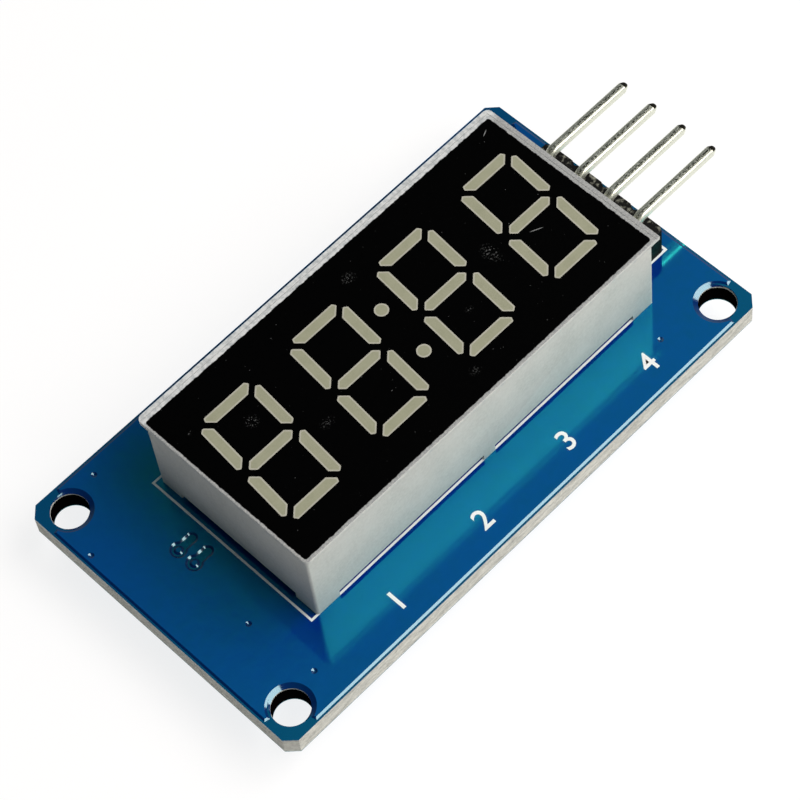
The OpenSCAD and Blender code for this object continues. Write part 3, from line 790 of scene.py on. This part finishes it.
def copper_loops(field, moats, tracks):
    """The outlines of a copper layer: the field less its moats, with the tracks standing in them."""
    verts, cells = [], []
    for loop in (field, *moats, *tracks):
        cells.append(list(range(len(verts), len(verts) + len(loop))))
        verts += [Vector(p) for p in loop]
    made = delaunay_2d_cdt(verts, [], cells, 1, 1e-5, True)
    spots, faces, owners = made[0], made[2], made[5]
    edges = set()
    for face, owner in zip(faces, owners):
        on_track = any(o > len(moats) for o in owner)
        in_moat = any(1 <= o <= len(moats) for o in owner)
        if on_track or (0 in owner and not in_moat):
            edges.update(zip(face, [*face[1:], face[0]]))
    following = {}
    for a, b in edges:
        if (b, a) not in edges:
            following.setdefault(a, []).append(b)
    loops = []
    for start in following:
        while following[start]:
            loop, at = [start], following[start].pop()
            while at != start:
                loop.append(at)
                at = following[at].pop()
            loops.append([tuple(spots[k]) for k in loop])
    return loops


# ---- Places ----

PAD_GAP = 0.3  # bare strip round a soldered pad
BLOCK_PAD_OUT = 0.02  # how far the middle of a small part's pad lies past its end
VIAS = ((-20.34, 6.53), (-16.5, -9.3), (14.6, -9.1), (-17.0, -4.1), (-16.35, 10.62))
RINGED_VIAS = ((-16.4, 2.78), (-16.36, 1.39))
VIA_R, VIA_UNDER_R = 0.05, 0.12  # the bare dimple of a via in the copper of the face and of the underside
RING_R, RING_MOAT_R = 0.33, 0.44  # the copper round a ringed via, and the bare moat round that
ARM_REACH, ARM_HALF, ARM_END_R = 1.1, 0.26, 0.27  # the moat's arm


def mount_places():
    """The centres of the mounting holes, from the record's bolt pattern, and their radius."""
    dims = next(m["dims"] for m in frame["record"]["mounts"] if m["kind"] == "bolt_pattern")
    x, y = dims["spacing_x_mm"] / 2, dims["spacing_y_mm"] / 2
    return [(-x, -y), (x, -y), (x, y), (-x, y)], dims["hole_r_mm"]


def lead_grid(lead_d):
    """Centre, pitch and distance apart of the two rows of display leads."""
    low, high = box_mm("display_leads")
    middle = (low + high) / 2
    return middle.x, middle.y, (high.x - low.x - lead_d) / (LEADS_PER_ROW - 1), high.y - low.y - lead_d


def chip_grid(lead_w):
    """The corners of the box round the chip's leads, and their pitch."""
    low, high = box_mm("driver_chip_leads")
    return low, high, (high.y - low.y - lead_w) / (CHIP_LEADS_PER_SIDE - 1)


def pin_feet():
    """The centre of each pin's foot in the board, and the pin's width."""
    places = []
    for pin in PINS:
        low, high = box_mm(f"header_pin_{pin}")
        wide = high.y - low.y
        places.append((low.x + wide / 2, (low.y + high.y) / 2))
    return places, wide


def block_nodes():
    """(kind, number, slot, finish) of each small part of the underside."""
    return [(kind, k + 1, *rest) for kind, count, *rest in BLOCKS for k in range(count)]


def block_places():
    """The two ends of each small part, seen from above, and the X of their pads."""
    places = []
    for kind, k, *_ in block_nodes():
        low, high = box_mm(f"{kind}_{k}")
        y = (low.y + high.y) / 2
        places.append(((low.x, y), (high.x, y), (low.x - BLOCK_PAD_OUT, high.x + BLOCK_PAD_OUT)))
    return places


# ---- Circuit board ----


class MODULE_OT_board(bpy.types.Operator):
    """Builds the laminate with its solder mask"""

    bl_idname = "module.board"
    bl_label = "Circuit board"

    def execute(self, context):
        c = in_mm("board")
        low, high = box_mm("circuit_board")
        holes, hole_r = mount_places()
        at_wall, at_side, at_corner = 0.02, 0.05, 0.8  # how near counts as in a hole's wall, side or corner
        dish = high.z - c.dish_t
        rim = dish - c.rim_t
        walls = (low.z + c.mask_t, high.z - c.mask_t)
        shape = cad_copy("circuit_board")
        for height in (walls[0], rim, dish, walls[1]):
            slice_at(shape, (0, 0, height), (0, 0, 1))
        for vert in shape.verts:
            for x, y in holes:
                spoke = Vector((vert.co.x - x, vert.co.y - y))
                if abs(spoke.length - hole_r) < at_wall and vert.co.z > dish:
                    # The dish narrows to a quarter toward the board's corner.
                    cornerward = max(0.0, spoke.normalized().dot(Vector((x, y)).normalized()))
                    wide = c.dish_w * (1 - 0.75 * min(1.0, 1.6 * cornerward))
                    spoke.length = hole_r + wide * (vert.co.z - dish) / c.dish_t
                    vert.co.x, vert.co.y = x + spoke.x, y + spoke.y
        shape.normal_update()
        for face in shape.faces:
            at = face.calc_center_median()
            if abs(face.normal.z) < 0.5 and walls[0] < at.z < walls[1]:
                on_side = max(abs(at.x) - high.x, abs(at.y) - high.y) > -at_side
                on_corner = high.x + high.y - abs(at.x) - abs(at.y) < at_corner
                # Hole walls below the pale rim take the painted shade of the hole.
                face.material_index = 1 if on_side or on_corner or at.z > rim else 2
            elif abs(face.normal.z) < LEVEL and at.z > dish:
                face.material_index = 3
        add_piece(
            "board_laminate", shape, "solder_mask_laminate", "circuit_board",
            "solder_mask_over_laminate", "glass_laminate_routed", "glass_laminate_drilled", "solder_mask_over_step",
        )
        return {"FINISHED"}


def pour_outline():
    """The copper pour's outline, which follows the board's edge and steps back round the mounting holes."""
    c = in_mm("board")
    holes, _ = mount_places()
    lean = 14  # degrees that the step back leans from the board's edge
    side = box_mm("circuit_board")[1].x - c.pour_inset
    far = (side - holes[1][0]) / math.cos(math.radians(lean))
    loop = []
    for k, (x, y) in enumerate(holes):
        start, end = 180 - lean + 90 * k, -90 + lean + 90 * k
        loop += arc(x, y, far, start, start)[:1] + arc(x, y, c.hole_clear, start, end) + arc(x, y, far, end, end)[:1]
    return loop


class MODULE_OT_pour(bpy.types.Operator):
    """Builds the copper pours and the tracks under the mask"""

    bl_idname = "module.pour"
    bl_label = "Copper"

    def execute(self, context):
        c = in_mm("board")
        low, high = box_mm("circuit_board")
        moats = [ring(x, y, VIA_R, 30) for x, y in VIAS]
        for x, y in RINGED_VIAS:
            moats.append(track([(x, y), (x + ARM_REACH, y)], ARM_HALF, RING_MOAT_R, ARM_END_R))
        tracks = [ring(x, y, RING_R) for x, y in RINGED_VIAS]
        for side, copper, height, slope in (
            ("face", (moats, tracks), high.z, c.pour_slope),
            ("underside", underside_copper(), low.z, c.fine_slope),
        ):
            shape = plate(copper_loops(pour_outline(), *copper), height, c.pour_t, slope)
            finishes = ("solder_mask_over_copper", "solder_mask_over_step")
            add_piece(f"board_pour_{side}", shape, "solder_mask_laminate", None, *finishes)
        return {"FINISHED"}


def underside_copper():
    """The moats and tracks of the underside: pads kept clear, and tracks from the chip and the header."""
    c, metal = in_mm("board"), in_mm("metal")
    half, pad_r = c.track_w / 2, metal.pad_d / 2
    end_more = 0.05  # how much wider a track's round start is than the track
    clear_r = pad_r + PAD_GAP
    centre_x, centre_y, pitch, apart = lead_grid(metal.lead_d)
    columns = [centre_x + (k - (LEADS_PER_ROW - 1) / 2) * pitch for k in range(LEADS_PER_ROW)]
    rows = (centre_y + apart / 2, centre_y - apart / 2)
    feet, _ = pin_feet()
    moats = [ring(x, y, clear_r) for x, y in [*((x, y) for x in columns for y in rows), *feet]]
    moats += [ring(x, y, VIA_UNDER_R, 30) for x, y in (*VIAS, *RINGED_VIAS)]
    tracks = []

    def lay(path):
        wide = half + c.moat_w
        moats.append(track(path, wide, wide + end_more, clear_r))
        tracks.append(track(path, half, half + end_more, pad_r))

    low, high, chip_pitch = chip_grid(metal.chip_lead_w)
    moat_x, moat_y = 0.4, 0.35  # how far the moat round the chip's feet reaches past them
    for inner, outer in ((low.x, low.x + metal.chip_foot), (high.x - metal.chip_foot, high.x)):
        moats.append(rectangle(inner - moat_x, low.y - moat_y, outer + moat_x, high.y + moat_y))
    chip_y = (low.y + high.y) / 2
    turn_in, run_out = 1.3, 0.8  # where the two outer pairs of tracks bend
    past_pad = pad_r + 0.485
    for k in range(CHIP_LEADS_PER_SIDE // 2):
        for side, row in zip((1, -1), rows):
            y = chip_y + side * (CHIP_LEADS_PER_SIDE / 2 - 0.5 - k) * chip_pitch
            x = columns[k]
            if k == 0:
                path = [(x - turn_in - abs(y - row), y), (x - turn_in, row)]
            elif k == 1:
                lane = row - side * past_pad
                bend = high.x + run_out
                path = [(bend, y), (bend + abs(y - lane), lane), (x - abs(row - lane), lane)]
            else:
                path = [(x - abs(row - y), y)]
            lay([(high.x, y), *path, (x, row)])
    block_moat, foot_bend = (0.6, 0.62), 2.2
    for _, (x, y), pads in block_places():
        moats += [oblong(*block_moat, pad, y) for pad in pads]
        near = min(feet, key=lambda foot: abs(foot[1] - y))
        aside = abs(near[1] - y)
        if aside < 0.5:
            bend = near[0] - foot_bend
            lay([(x, y), (bend, y), (bend + aside, near[1]), near])
    return moats, tracks


class MODULE_OT_pads(bpy.types.Operator):
    """Builds the tinned pads of the underside"""

    bl_idname = "module.pads"
    bl_label = "Pads"

    def execute(self, context):
        c, metal = in_mm("board"), in_mm("metal")
        board_low, _ = box_mm("circuit_board")
        pad_r = metal.pad_d / 2 + c.pad_lip
        round_slope, slope = 0.04, 0.03
        foot_x, foot_y = 0.31, metal.chip_foot / 2 + 0.3
        block_x, block_y = 0.45, 0.48

        def pad(outline, slope):
            return plate([outline], 0, c.pad_t, slope)

        centre_x, centre_y, pitch, apart = lead_grid(metal.lead_d)
        rows = in_rows(pad(ring(0, 0, pad_r), round_slope), PAD_TIN, LEADS_PER_ROW, pitch, apart)
        shapes = [moved(rows, centre_x, centre_y, board_low.z)]
        feet, _ = pin_feet()
        for k, (x, y) in enumerate(feet):
            outline = ring(0, 0, pad_r) if k else oblong(pad_r, pad_r)
            shapes.append(moved(pad(outline, round_slope), x, y, board_low.z))
        low, high, chip_pitch = chip_grid(metal.chip_lead_w)
        middle = (low + high) / 2
        chip_pad = pad(oblong(foot_x, foot_y), slope)
        rows = in_rows(chip_pad, PAD_TIN, CHIP_LEADS_PER_SIDE, chip_pitch, high.x - low.x - metal.chip_foot)
        shapes.append(moved(rows, middle.x, middle.y, board_low.z, turn=90))
        for _, (_, y), pads in block_places():
            shapes += [moved(pad(oblong(block_x, block_y), slope), x, y, board_low.z) for x in pads]
        add_piece("board_pads", joined(shapes), "solder", None, PAD_TIN)
        return {"FINISHED"}


class MODULE_OT_print(bpy.types.Operator):
    """Prints the outlines and the digits' numbers on both faces of the board"""

    bl_idname = "module.print"
    bl_label = "Printed ink"

    def execute(self, context):
        c = in_mm("board")
        board_low, board_high = box_mm("circuit_board")
        display, header = box_mm("display_housing"), box_mm("header_body")
        chip, leads = box_mm("driver_chip_body"), box_mm("driver_chip_leads")[0]
        thin, fine = c.ink_w * 0.85, c.ink_w * 0.8
        small_h, small_y, aside = 1.2, 1.7, 1.9  # height and places of the underside's numerals
        dot_x, dot_y, dot_r = 0.4, -0.9, 0.3  # the dot that marks the chip's first lead
        digit_x = [(str(digit), middle_mm(f"digit_{digit}_segment_g").x) for digit in DIGITS]

        top = board_high.z + c.pour_t
        loops = [
            line_box(*display, thin, left=0.56, right=-0.1, far=0.31),
            line_box(*header, c.ink_w, 0.05, 0.14, 0.14, 0.2),
        ]
        shapes = [plate(loop, top, c.ink_t) for loop in loops]
        for text, x in digit_x:
            shapes.append(moved(numeral(text, c.numeral_h, c.ink_t), x, board_low.y + c.numeral_y, top))
        add_piece("board_print_face", joined(shapes), "solder_mask_laminate", None, INK)

        under = board_low.z - c.pour_t
        loops = [line_box(*header, c.ink_w, near=0.1, far=0.1)]
        loops += [line_box(left, right, fine, 0.8, 0.9, 0.8, 0.9) for left, right, _ in block_places()]
        loops.append(line_box(*chip, c.ink_w, near=0.35, far=0.35))
        loops.append([ring(leads.x + dot_x, leads.y + dot_y, dot_r)])
        loops.append(line_box(*display, c.ink_w))
        shapes = [plate(loop, under, c.ink_t) for loop in loops]
        (x, y), *_ = pin_feet()[0]
        places = [("1", x + aside, y - small_h / 2)]
        places += [(text, x, board_low.y + small_y) for text, x in digit_x]
        for text, x, y in places:
            shapes.append(moved(numeral(text, small_h, c.ink_t), x, y, under, turn=180, axis="Y"))
        add_piece("board_print_underside", joined(shapes), "solder_mask_laminate", None, INK)
        return {"FINISHED"}


def numeral(text, height, half):
    """A printed numeral centred on X with its foot at zero."""
    words = bpy.data.curves.new("numeral", "FONT")
    words.body = text
    words.align_x = "CENTER"
    words.size = height / 0.7  # the font's numerals fill that share of its size
    words.extrude = half
    words.offset = 0.02
    words.resolution_u = 4
    return from_curve(words)


# ---- Display ----


def near_outline(point, low, high, near):
    """True where a point lies near the outline of a box seen from above."""
    return point.x < low.x + near or point.x > high.x - near or point.y < low.y + near or point.y > high.y - near


class MODULE_OT_housing(bpy.types.Operator):
    """Builds the moulded housing with its rounded edges"""

    bl_idname = "module.housing"
    bl_label = "Display housing"

    def execute(self, context):
        low, high = box_mm("display_housing")
        near, below, shortest = 0.25, 0.01, 0.3  # the edges on the sides, but not those of the brim

        def outer(edge):
            ends = [v.co for v in edge.verts]
            at_side = all(near_outline(p, low, high, near) and p.z < high.z - below for p in ends)
            return at_side and edge.calc_length() > shortest

        shape = round_edges(cad_copy("display_housing"), in_mm("display").housing_edge, 3, outer)
        add_piece("display_case", shape, "housing_plastic", "display_housing", "abs_moulded_grey")
        return {"FINISHED"}


class MODULE_OT_film(bpy.types.Operator):
    """Builds the printed film on the face, with the groove along its two far sides"""

    bl_idname = "module.film"
    bl_label = "Front film"

    def execute(self, context):
        c = in_mm("display")
        low, high = box_mm("front_film")
        at_end = (high.x - c.film_lip, 0, 0), (1, 0, 0)
        at_far = (0, high.y - c.film_lip, 0), (0, 1, 0)
        back_end, back_far = (at_end[0], (-1, 0, 0)), (at_far[0], (0, -1, 0))
        whole = cad_copy("front_film")
        for vert in whole.verts:
            # The corner near the header is cut sharp: its round shrinks to a twentieth.
            corner = Vector((high.x, low.y, vert.co.z))
            if (vert.co - corner).length < 0.45:
                vert.co = corner.lerp(vert.co, 0.05)

        def brim(edge):
            return all(v.co.z > high.z - 1e-3 and near_outline(v.co, low, high, 0.6) for v in edge.verts)

        parts = []
        for cuts in ((at_end, at_far), (back_end,), (at_end, back_far)):
            parts.append(whole.copy())
            for cut in cuts:
                slice_at(parts[-1], *cut, cut=True)
            round_edges(parts[-1], c.film_edge, chosen=brim)
            set_material(parts[-1], 1, lambda at, normal: normal.z < 0.9)
        whole.free()
        finishes = ("polyester_film_screen_printed", "polyester_film_die_cut")
        add_piece("face_film", joined(parts), "black_film", "front_film", *finishes)
        return {"FINISHED"}


class MODULE_OT_lenses(bpy.types.Operator):
    """Builds the cast lenses of the segments and the colon"""

    bl_idname = "module.lenses"
    bl_label = "Segment lenses"

    def execute(self, context):
        rim = in_mm("display").lens_rim
        nodes = {f"digit_{d}_segment_{s}": f"digit_{d}_lens_{s}" for d in DIGITS for s in SEGMENTS}
        nodes.update({f"colon_dot_{place}": f"colon_lens_{place}" for place in ("upper", "lower")})
        for node, name in nodes.items():
            shape = cad_copy(node)
            face = max(shape.faces, key=lambda f: f.calc_center_median().z)
            set_material(shape, 1, lambda at, normal: True)
            bmesh.ops.inset_region(shape, faces=[face], thickness=rim, use_even_offset=True)
            face.material_index = 0
            add_piece(name, shape, "segment_resin", node, "diffused_epoxy_cast", "diffused_epoxy_rim")
        return {"FINISHED"}


class MODULE_OT_inside(bpy.types.Operator):
    """Finishes the lamp board, its light chips, the resin behind them and the leads"""

    bl_idname = "module.inside"
    bl_label = "Inside of the display"

    def execute(self, context):
        dress("led_board", "white_mask_coated")
        dress("led_dies", "gallium_die_sawn")
        dress("potting_resin", "epoxy_potting_poured")
        shape = round_edges(cad_copy("display_leads"), in_mm("metal").lead_d * 0.12)
        add_piece("display_wires", shape, "tinned_pin", "display_leads", LEAD_TIN)
        return {"FINISHED"}


# ---- Header ----


class MODULE_OT_header(bpy.types.Operator):
    """Builds the header body, cell by cell, and its bent pins"""

    bl_idname = "module.header"
    bl_label = "Pin header"

    def execute(self, context):
        plastic, metal = in_mm("plastic"), in_mm("metal")
        low, high = box_mm("header_body")
        shape = cad_copy("header_body")
        for vert in shape.verts:
            # The notches between the cells are made shallower on the pins' side.
            if 0.2 < high.x - vert.co.x < 0.5:
                vert.co.x = high.x - plastic.notch
        cells = []
        pitch = (high.y - low.y) / len(PINS)
        for k in range(len(PINS)):
            cell = slice_at(shape.copy(), (0, low.y + pitch * (k + 1), 0), (0, 1, 0), cut=True)
            slice_at(cell, (0, low.y + pitch * k, 0), (0, -1, 0), cut=True)
            round_edges(cell, plastic.header_edge, chosen=lambda e: e.calc_length() > 0.25)
            # The cells' upward faces take the nylon with the painted sheen.
            set_material(cell, 1, lambda at, normal: normal.z > 0.7)
            cells.append(cell)
        shape.free()
        finishes = ("nylon_moulded_black", "nylon_pressed_flat")
        add_piece("header_strip", joined(cells), "header_plastic", "header_body", *finishes)
        for pin in PINS:
            node = f"header_pin_{pin}"
            cut_x = box_mm(node)[1].x - metal.pin_cut
            shape = round_edges(cad_copy(node), metal.pin_edge, 4)
            set_material(shape, 1, lambda at, normal: at.x > cut_x and normal.x > 0.25 and normal.z > 0.2)
            finishes = ("brass_wire_bright_tin", "brass_cut_tarnished")
            add_piece(f"header_wire_{pin}", shape, "tinned_pin", node, *finishes)
        return {"FINISHED"}


def solder_cone(core_r, pad_r, height):
    """A solder joint that climbs its lead in a hollow curve and ends in a round lip."""
    collar, lip, steps = 0.05, 0.05, 8
    profile = [(0, 0.02), (pad_r - 0.02, 0.02), (pad_r, 0.0)]
    for k in range(1, steps + 1):
        t = k / steps
        r = core_r + collar + (pad_r - core_r - collar) * (1 - t) ** 2
        profile.append((r, -lip - (height - lip - 0.03) * t))
    return lathe([*profile, (core_r + 0.02, 0.01 - height), (core_r - 0.04, -height), (0, -height)])


class MODULE_OT_solder(bpy.types.Operator):
    """Builds the solder joints of the display leads and the header pins"""

    bl_idname = "module.solder"
    bl_label = "Solder joints"

    def execute(self, context):
        c = in_mm("metal")
        floor = box_mm("circuit_board")[0].z
        pad_r = c.pad_d / 2
        centre_x, centre_y, pitch, apart = lead_grid(c.lead_d)
        joint = solder_cone(c.lead_d / 2, pad_r, c.solder_h)
        rows = moved(in_rows(joint, SOLDER, LEADS_PER_ROW, pitch, apart), centre_x, centre_y, floor)
        add_piece("display_joints", rows, "solder", "display_solder", SOLDER)
        feet, wide = pin_feet()
        middle = sum(y for _, y in feet) / len(feet)
        joint = solder_cone(wide * 0.66, pad_r + 0.05, c.solder_h)
        row = in_rows(joint, SOLDER, len(feet), feet[0][1] - feet[1][1])
        row = moved(row, feet[0][0], middle, floor, turn=90)
        add_piece("header_joints", row, "solder", "header_solder", SOLDER)
        return {"FINISHED"}


# ---- Underside ----


class MODULE_OT_chip(bpy.types.Operator):
    """Builds the driver chip's body and its gull-wing leads"""

    bl_idname = "module.chip"
    bl_label = "Driver chip"

    def execute(self, context):
        c = in_mm("metal")
        shape = round_edges(cad_copy("driver_chip_body"), in_mm("plastic").chip_edge)
        add_piece("chip_case", shape, "chip_plastic", "driver_chip_body", "epoxy_compound_moulded")
        low, high, pitch = chip_grid(c.chip_lead_w)
        body_low, body_high = box_mm("driver_chip_body")
        t, bend = c.chip_lead_t, 0.16
        wall = (body_high.x - body_low.x) / 2 - 0.02  # where a lead starts, just inside the body
        middle, foot = (body_low.z + body_high.z) / 2, -t / 2
        reach = (high.x - low.x) / 2
        heel = reach - c.chip_foot
        side = [
            (wall, middle),
            (heel - t, middle),
            (heel - t + bend, middle + bend * 0.5),
            (heel - 0.03, foot - bend),
            (heel + bend * 0.5, foot - bend * 0.1),
            (heel + bend + 0.06, foot),
            (reach, foot),
        ]
        lead = round_edges(bar(ribbon(side, t / 2), c.chip_lead_w), c.lead_edge)
        rows = in_rows(moved(lead, turn=90), LEAD_TIN, CHIP_LEADS_PER_SIDE, pitch, apart=0.0)
        centre = (low + high) / 2
        rows = moved(rows, centre.x, centre.y, turn=-90)
        add_piece("chip_leads", rows, "tinned_pin", "driver_chip_leads", LEAD_TIN)
        return {"FINISHED"}


def ribbon(line, half):
    """The outline of a strip of even thickness along a line of points."""
    line = [Vector(p) for p in line]
    spots = zip(line, [line[0], *line], [*line[1:], line[-1]])
    steps = [mitre(at, before, after, half) for at, before, after in spots]
    above = [tuple(at + step) for at, step in zip(line, steps)]
    below = [tuple(at - step) for at, step in zip(line, steps)]
    return above + below[::-1]


class MODULE_OT_small_parts(bpy.types.Operator):
    """Builds the resistors, the capacitors and their end caps with rounded edges"""

    bl_idname = "module.small_parts"
    bl_label = "Small parts"

    def execute(self, context):
        width = in_mm("plastic").block_edge
        for kind, k, slot, material in block_nodes():
            shape = round_edges(cad_copy(f"{kind}_{k}"), width)
            add_piece(f"{kind}_block_{k}", shape, slot, f"{kind}_{k}", material)
        shape = round_edges(cad_copy("end_caps"), width, chosen=lambda e: e.calc_length() > 0.2)
        add_piece("metal_ends", shape, "solder", "end_caps", LEAD_TIN)
        dress("end_cap_solder", SOLDER)
        return {"FINISHED"}


# ---- Stage ----

CAMERA_PLACE = Vector((-59.595, -77.357, 165.854)) * MM
CAMERA_AHEAD = Vector((0.31371, 0.40517, -0.85873))
CAMERA_ROLL = -8.906
FLOOR_R = 1.5
FLOOR_PAINT = linear("#E7E7E7")
FLOOR_LIFT, FLOOR_WHITE = 0.75, 1.1  # the share of its own white that the camera sees, and its level
STUDIO_COLOUR = (0.91, 1.0, 1.06, 1)
PANEL_WAY = (0.314, 0.405, 0.859)  # the way from the board to what its gloss shows the camera
LAMP_SIDE = (0.5, -0.85, 0)  # the walls are paler this way
# Lamps: their level's property, direction, distance and extent in metres, colour.
LAMPS = (
    ("key", (0.4, -0.47, 0.8), 0.45, (0.44, 0.28), (1.0, 0.94, 0.9)),
    ("under", (0.1, -0.2, -1.0), 0.4, (0.4, 0.4), (1.0, 1.0, 1.0)),
)


class MODULE_OT_stage(bpy.types.Operator):
    """Sets up the floor, the lights and the camera"""

    bl_idname = "module.stage"
    bl_label = "Stage"

    def execute(self, context):
        c = settings("stage")
        add_floor()
        add_world(context.scene, c.walls, c.panel)
        for name, *place in LAMPS:
            add_lamp(f"{name}_lamp", getattr(c, name), *place)
        add_camera(context.scene, c.lens)
        context.scene.view_settings.view_transform = "Standard"
        return {"FINISHED"}


def add_floor():
    """A matt white floor. A camera or a mirror sees it lifted to white with its shadows kept, and
    it is clear from below and for the lamp under it."""
    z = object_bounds()[0].z
    mesh = bpy.data.meshes.new("floor")
    corners = [(x, y, z) for x, y in oblong(FLOOR_R, FLOOR_R)]
    mesh.from_pydata(corners, [], [(0, 1, 2, 3)])
    add_object("floor", mesh)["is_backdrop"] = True
    material, node = blank("floor_painted_matt")
    path = node("LightPath")
    seen = node("Math", (path["Is Camera Ray"], path["Is Glossy Ray"]), operation="MAXIMUM")[0]
    seen = node("Math", (seen, path["Is Transmission Ray"]), operation="MAXIMUM")[0]
    lift = node("Math", (seen, FLOOR_LIFT), operation="MULTIPLY")[0]
    paint = node("BsdfDiffuse", {"Color": FLOOR_PAINT})[0]
    white = node("Emission", {"Strength": FLOOR_WHITE})[0]
    lit = node("MixShader", (lift, paint, white))[0]
    clear = node("BsdfTransparent")[0]
    behind = node("NewGeometry")["Backfacing"]
    through = node("Math", (behind, path["Is Shadow Ray"]), operation="MAXIMUM")[0]
    mixed = node("MixShader", (through, lit, clear))[0]
    node("OutputMaterial", {"Surface": mixed})
    mesh.materials.append(material)


def add_world(scene, walls, panel):
    """A studio with a dark ceiling, walls that are paler behind the key lamp, and a soft panel across
    from the camera that the gloss of the board mirrors. The camera sees white."""
    world = bpy.data.worlds.new("studio")
    scene.world = world
    world.use_nodes = True
    world.node_tree.nodes.clear()
    node = partial(add_node, world.node_tree)
    way = node("TexCoord")["Generated"]
    x, y, z = node("SeparateXYZ", (way,))
    side = node("VectorMath", (way, LAMP_SIDE), operation="DOT_PRODUCT")["Value"]
    toward = node("VectorMath", (way, PANEL_WAY), operation="DOT_PRODUCT")["Value"]
    # Walls that darken toward the ceiling and are paler on the lamp's side.
    height = node("MapRange", (z, 0.05, 0.45, walls, 0.03))[0]
    paler = node("MapRange", (side, -0.4, 0.8, 0.42, 1.2))[0]
    wall = node("Math", (height, paler), operation="MULTIPLY")[0]
    # A panel with a soft outline, dimmer far off, and flagged where the board mirrors it beside the
    # display's plain end.
    soft = node("MapRange", (toward, 0.8, 0.97))[0]
    across = node("MapRange", (y, 0.355, 0.43, panel, panel * 0.6))[0]
    end_flag = node("MapRange", (x, 0.221, 0.231, 1.0, 0.5))[0]
    near_flag = node("MapRange", (y, 0.39, 0.378))[0]
    far_flag = node("MapRange", (x, 0.34, 0.39))[0]
    flag = node("Math", (end_flag, near_flag), operation="MAXIMUM")[0]
    flag = node("Math", (flag, far_flag), operation="MAXIMUM")[0]
    shown = node("Math", (across, flag), operation="MULTIPLY")[0]
    shown = node("Math", (shown, soft), operation="MULTIPLY")[0]
    strength = node("Math", (wall, shown), operation="ADD")[0]
    studio = node("Background", {"Color": STUDIO_COLOUR, "Strength": strength})[0]
    white = node("Background", {"Color": (1, 1, 1, 1), "Strength": 1.0})[0]
    camera = node("LightPath")["Is Camera Ray"]
    mixed = node("MixShader", (camera, studio, white))[0]
    node("OutputWorld", {"Surface": mixed})


def add_lamp(name, power, direction, distance, extent, colour):
    """A soft lamp, extent wide and tall, whose light makes that level on a surface that faces it."""
    lamp = bpy.data.lights.new(name, "AREA")
    lamp.shape = "RECTANGLE"
    lamp.size, lamp.size_y = extent
    lamp.energy = power * math.pi**2 * distance**2
    lamp.color = colour
    holder = add_object(name, lamp)
    toward = Vector(direction).normalized()
    holder.location = toward * distance
    holder.rotation_euler = toward.to_track_quat("Z", "Y").to_euler()


def add_camera(scene, lens):
    data = bpy.data.cameras.new("camera")
    data.lens = lens
    data.sensor_width = 36
    data.clip_start, data.clip_end = 0.01, 10
    holder = add_object("camera", data)
    ahead = CAMERA_AHEAD.normalized()
    level_right = ahead.cross(Vector((0, 0, 1))).normalized()
    level_up = level_right.cross(ahead)
    roll = math.radians(CAMERA_ROLL)
    right = level_right * math.cos(roll) + level_up * math.sin(roll)
    turn = Matrix((right, right.cross(ahead), -ahead)).transposed().to_4x4()
    holder.matrix_world = Matrix.Translation(CAMERA_PLACE) @ turn
    scene.camera = holder


# ---- Add-on ----

OPERATORS = (
    MODULE_OT_board,
    MODULE_OT_pour,
    MODULE_OT_pads,
    MODULE_OT_print,
    MODULE_OT_housing,
    MODULE_OT_film,
    MODULE_OT_lenses,
    MODULE_OT_inside,
    MODULE_OT_header,
    MODULE_OT_solder,
    MODULE_OT_chip,
    MODULE_OT_small_parts,
    MODULE_OT_stage,
)


class MODULE_PT_sidebar(bpy.types.Panel):
    """Lists the module's sizes, colours and pieces"""

    bl_label = "Display module"
    bl_space_type = "VIEW_3D"
    bl_region_type = "UI"
    bl_category = "Display module"

    def draw(self, context):
        column = self.layout.column()
        for name, group in GROUPS.items():
            for field in group.__annotations__:
                column.prop(settings(name), field)
        for operator in OPERATORS:
            column.operator(operator.bl_idname)


CLASSES = (*GROUPS.values(), *OPERATORS, MODULE_PT_sidebar)


def register():
    for cls in CLASSES:
        bpy.utils.register_class(cls)
    for name, group in GROUPS.items():
        setattr(bpy.types.Scene, f"module_{name}", PointerProperty(type=group))


def unregister():
    for name in GROUPS:
        delattr(bpy.types.Scene, f"module_{name}")
    for cls in reversed(CLASSES):
        bpy.utils.unregister_class(cls)


def main():
    register()
    for operator in OPERATORS:
        getattr(bpy.ops.module, operator.bl_idname.split(".")[1])()


if __name__ == "__main__":
    main()
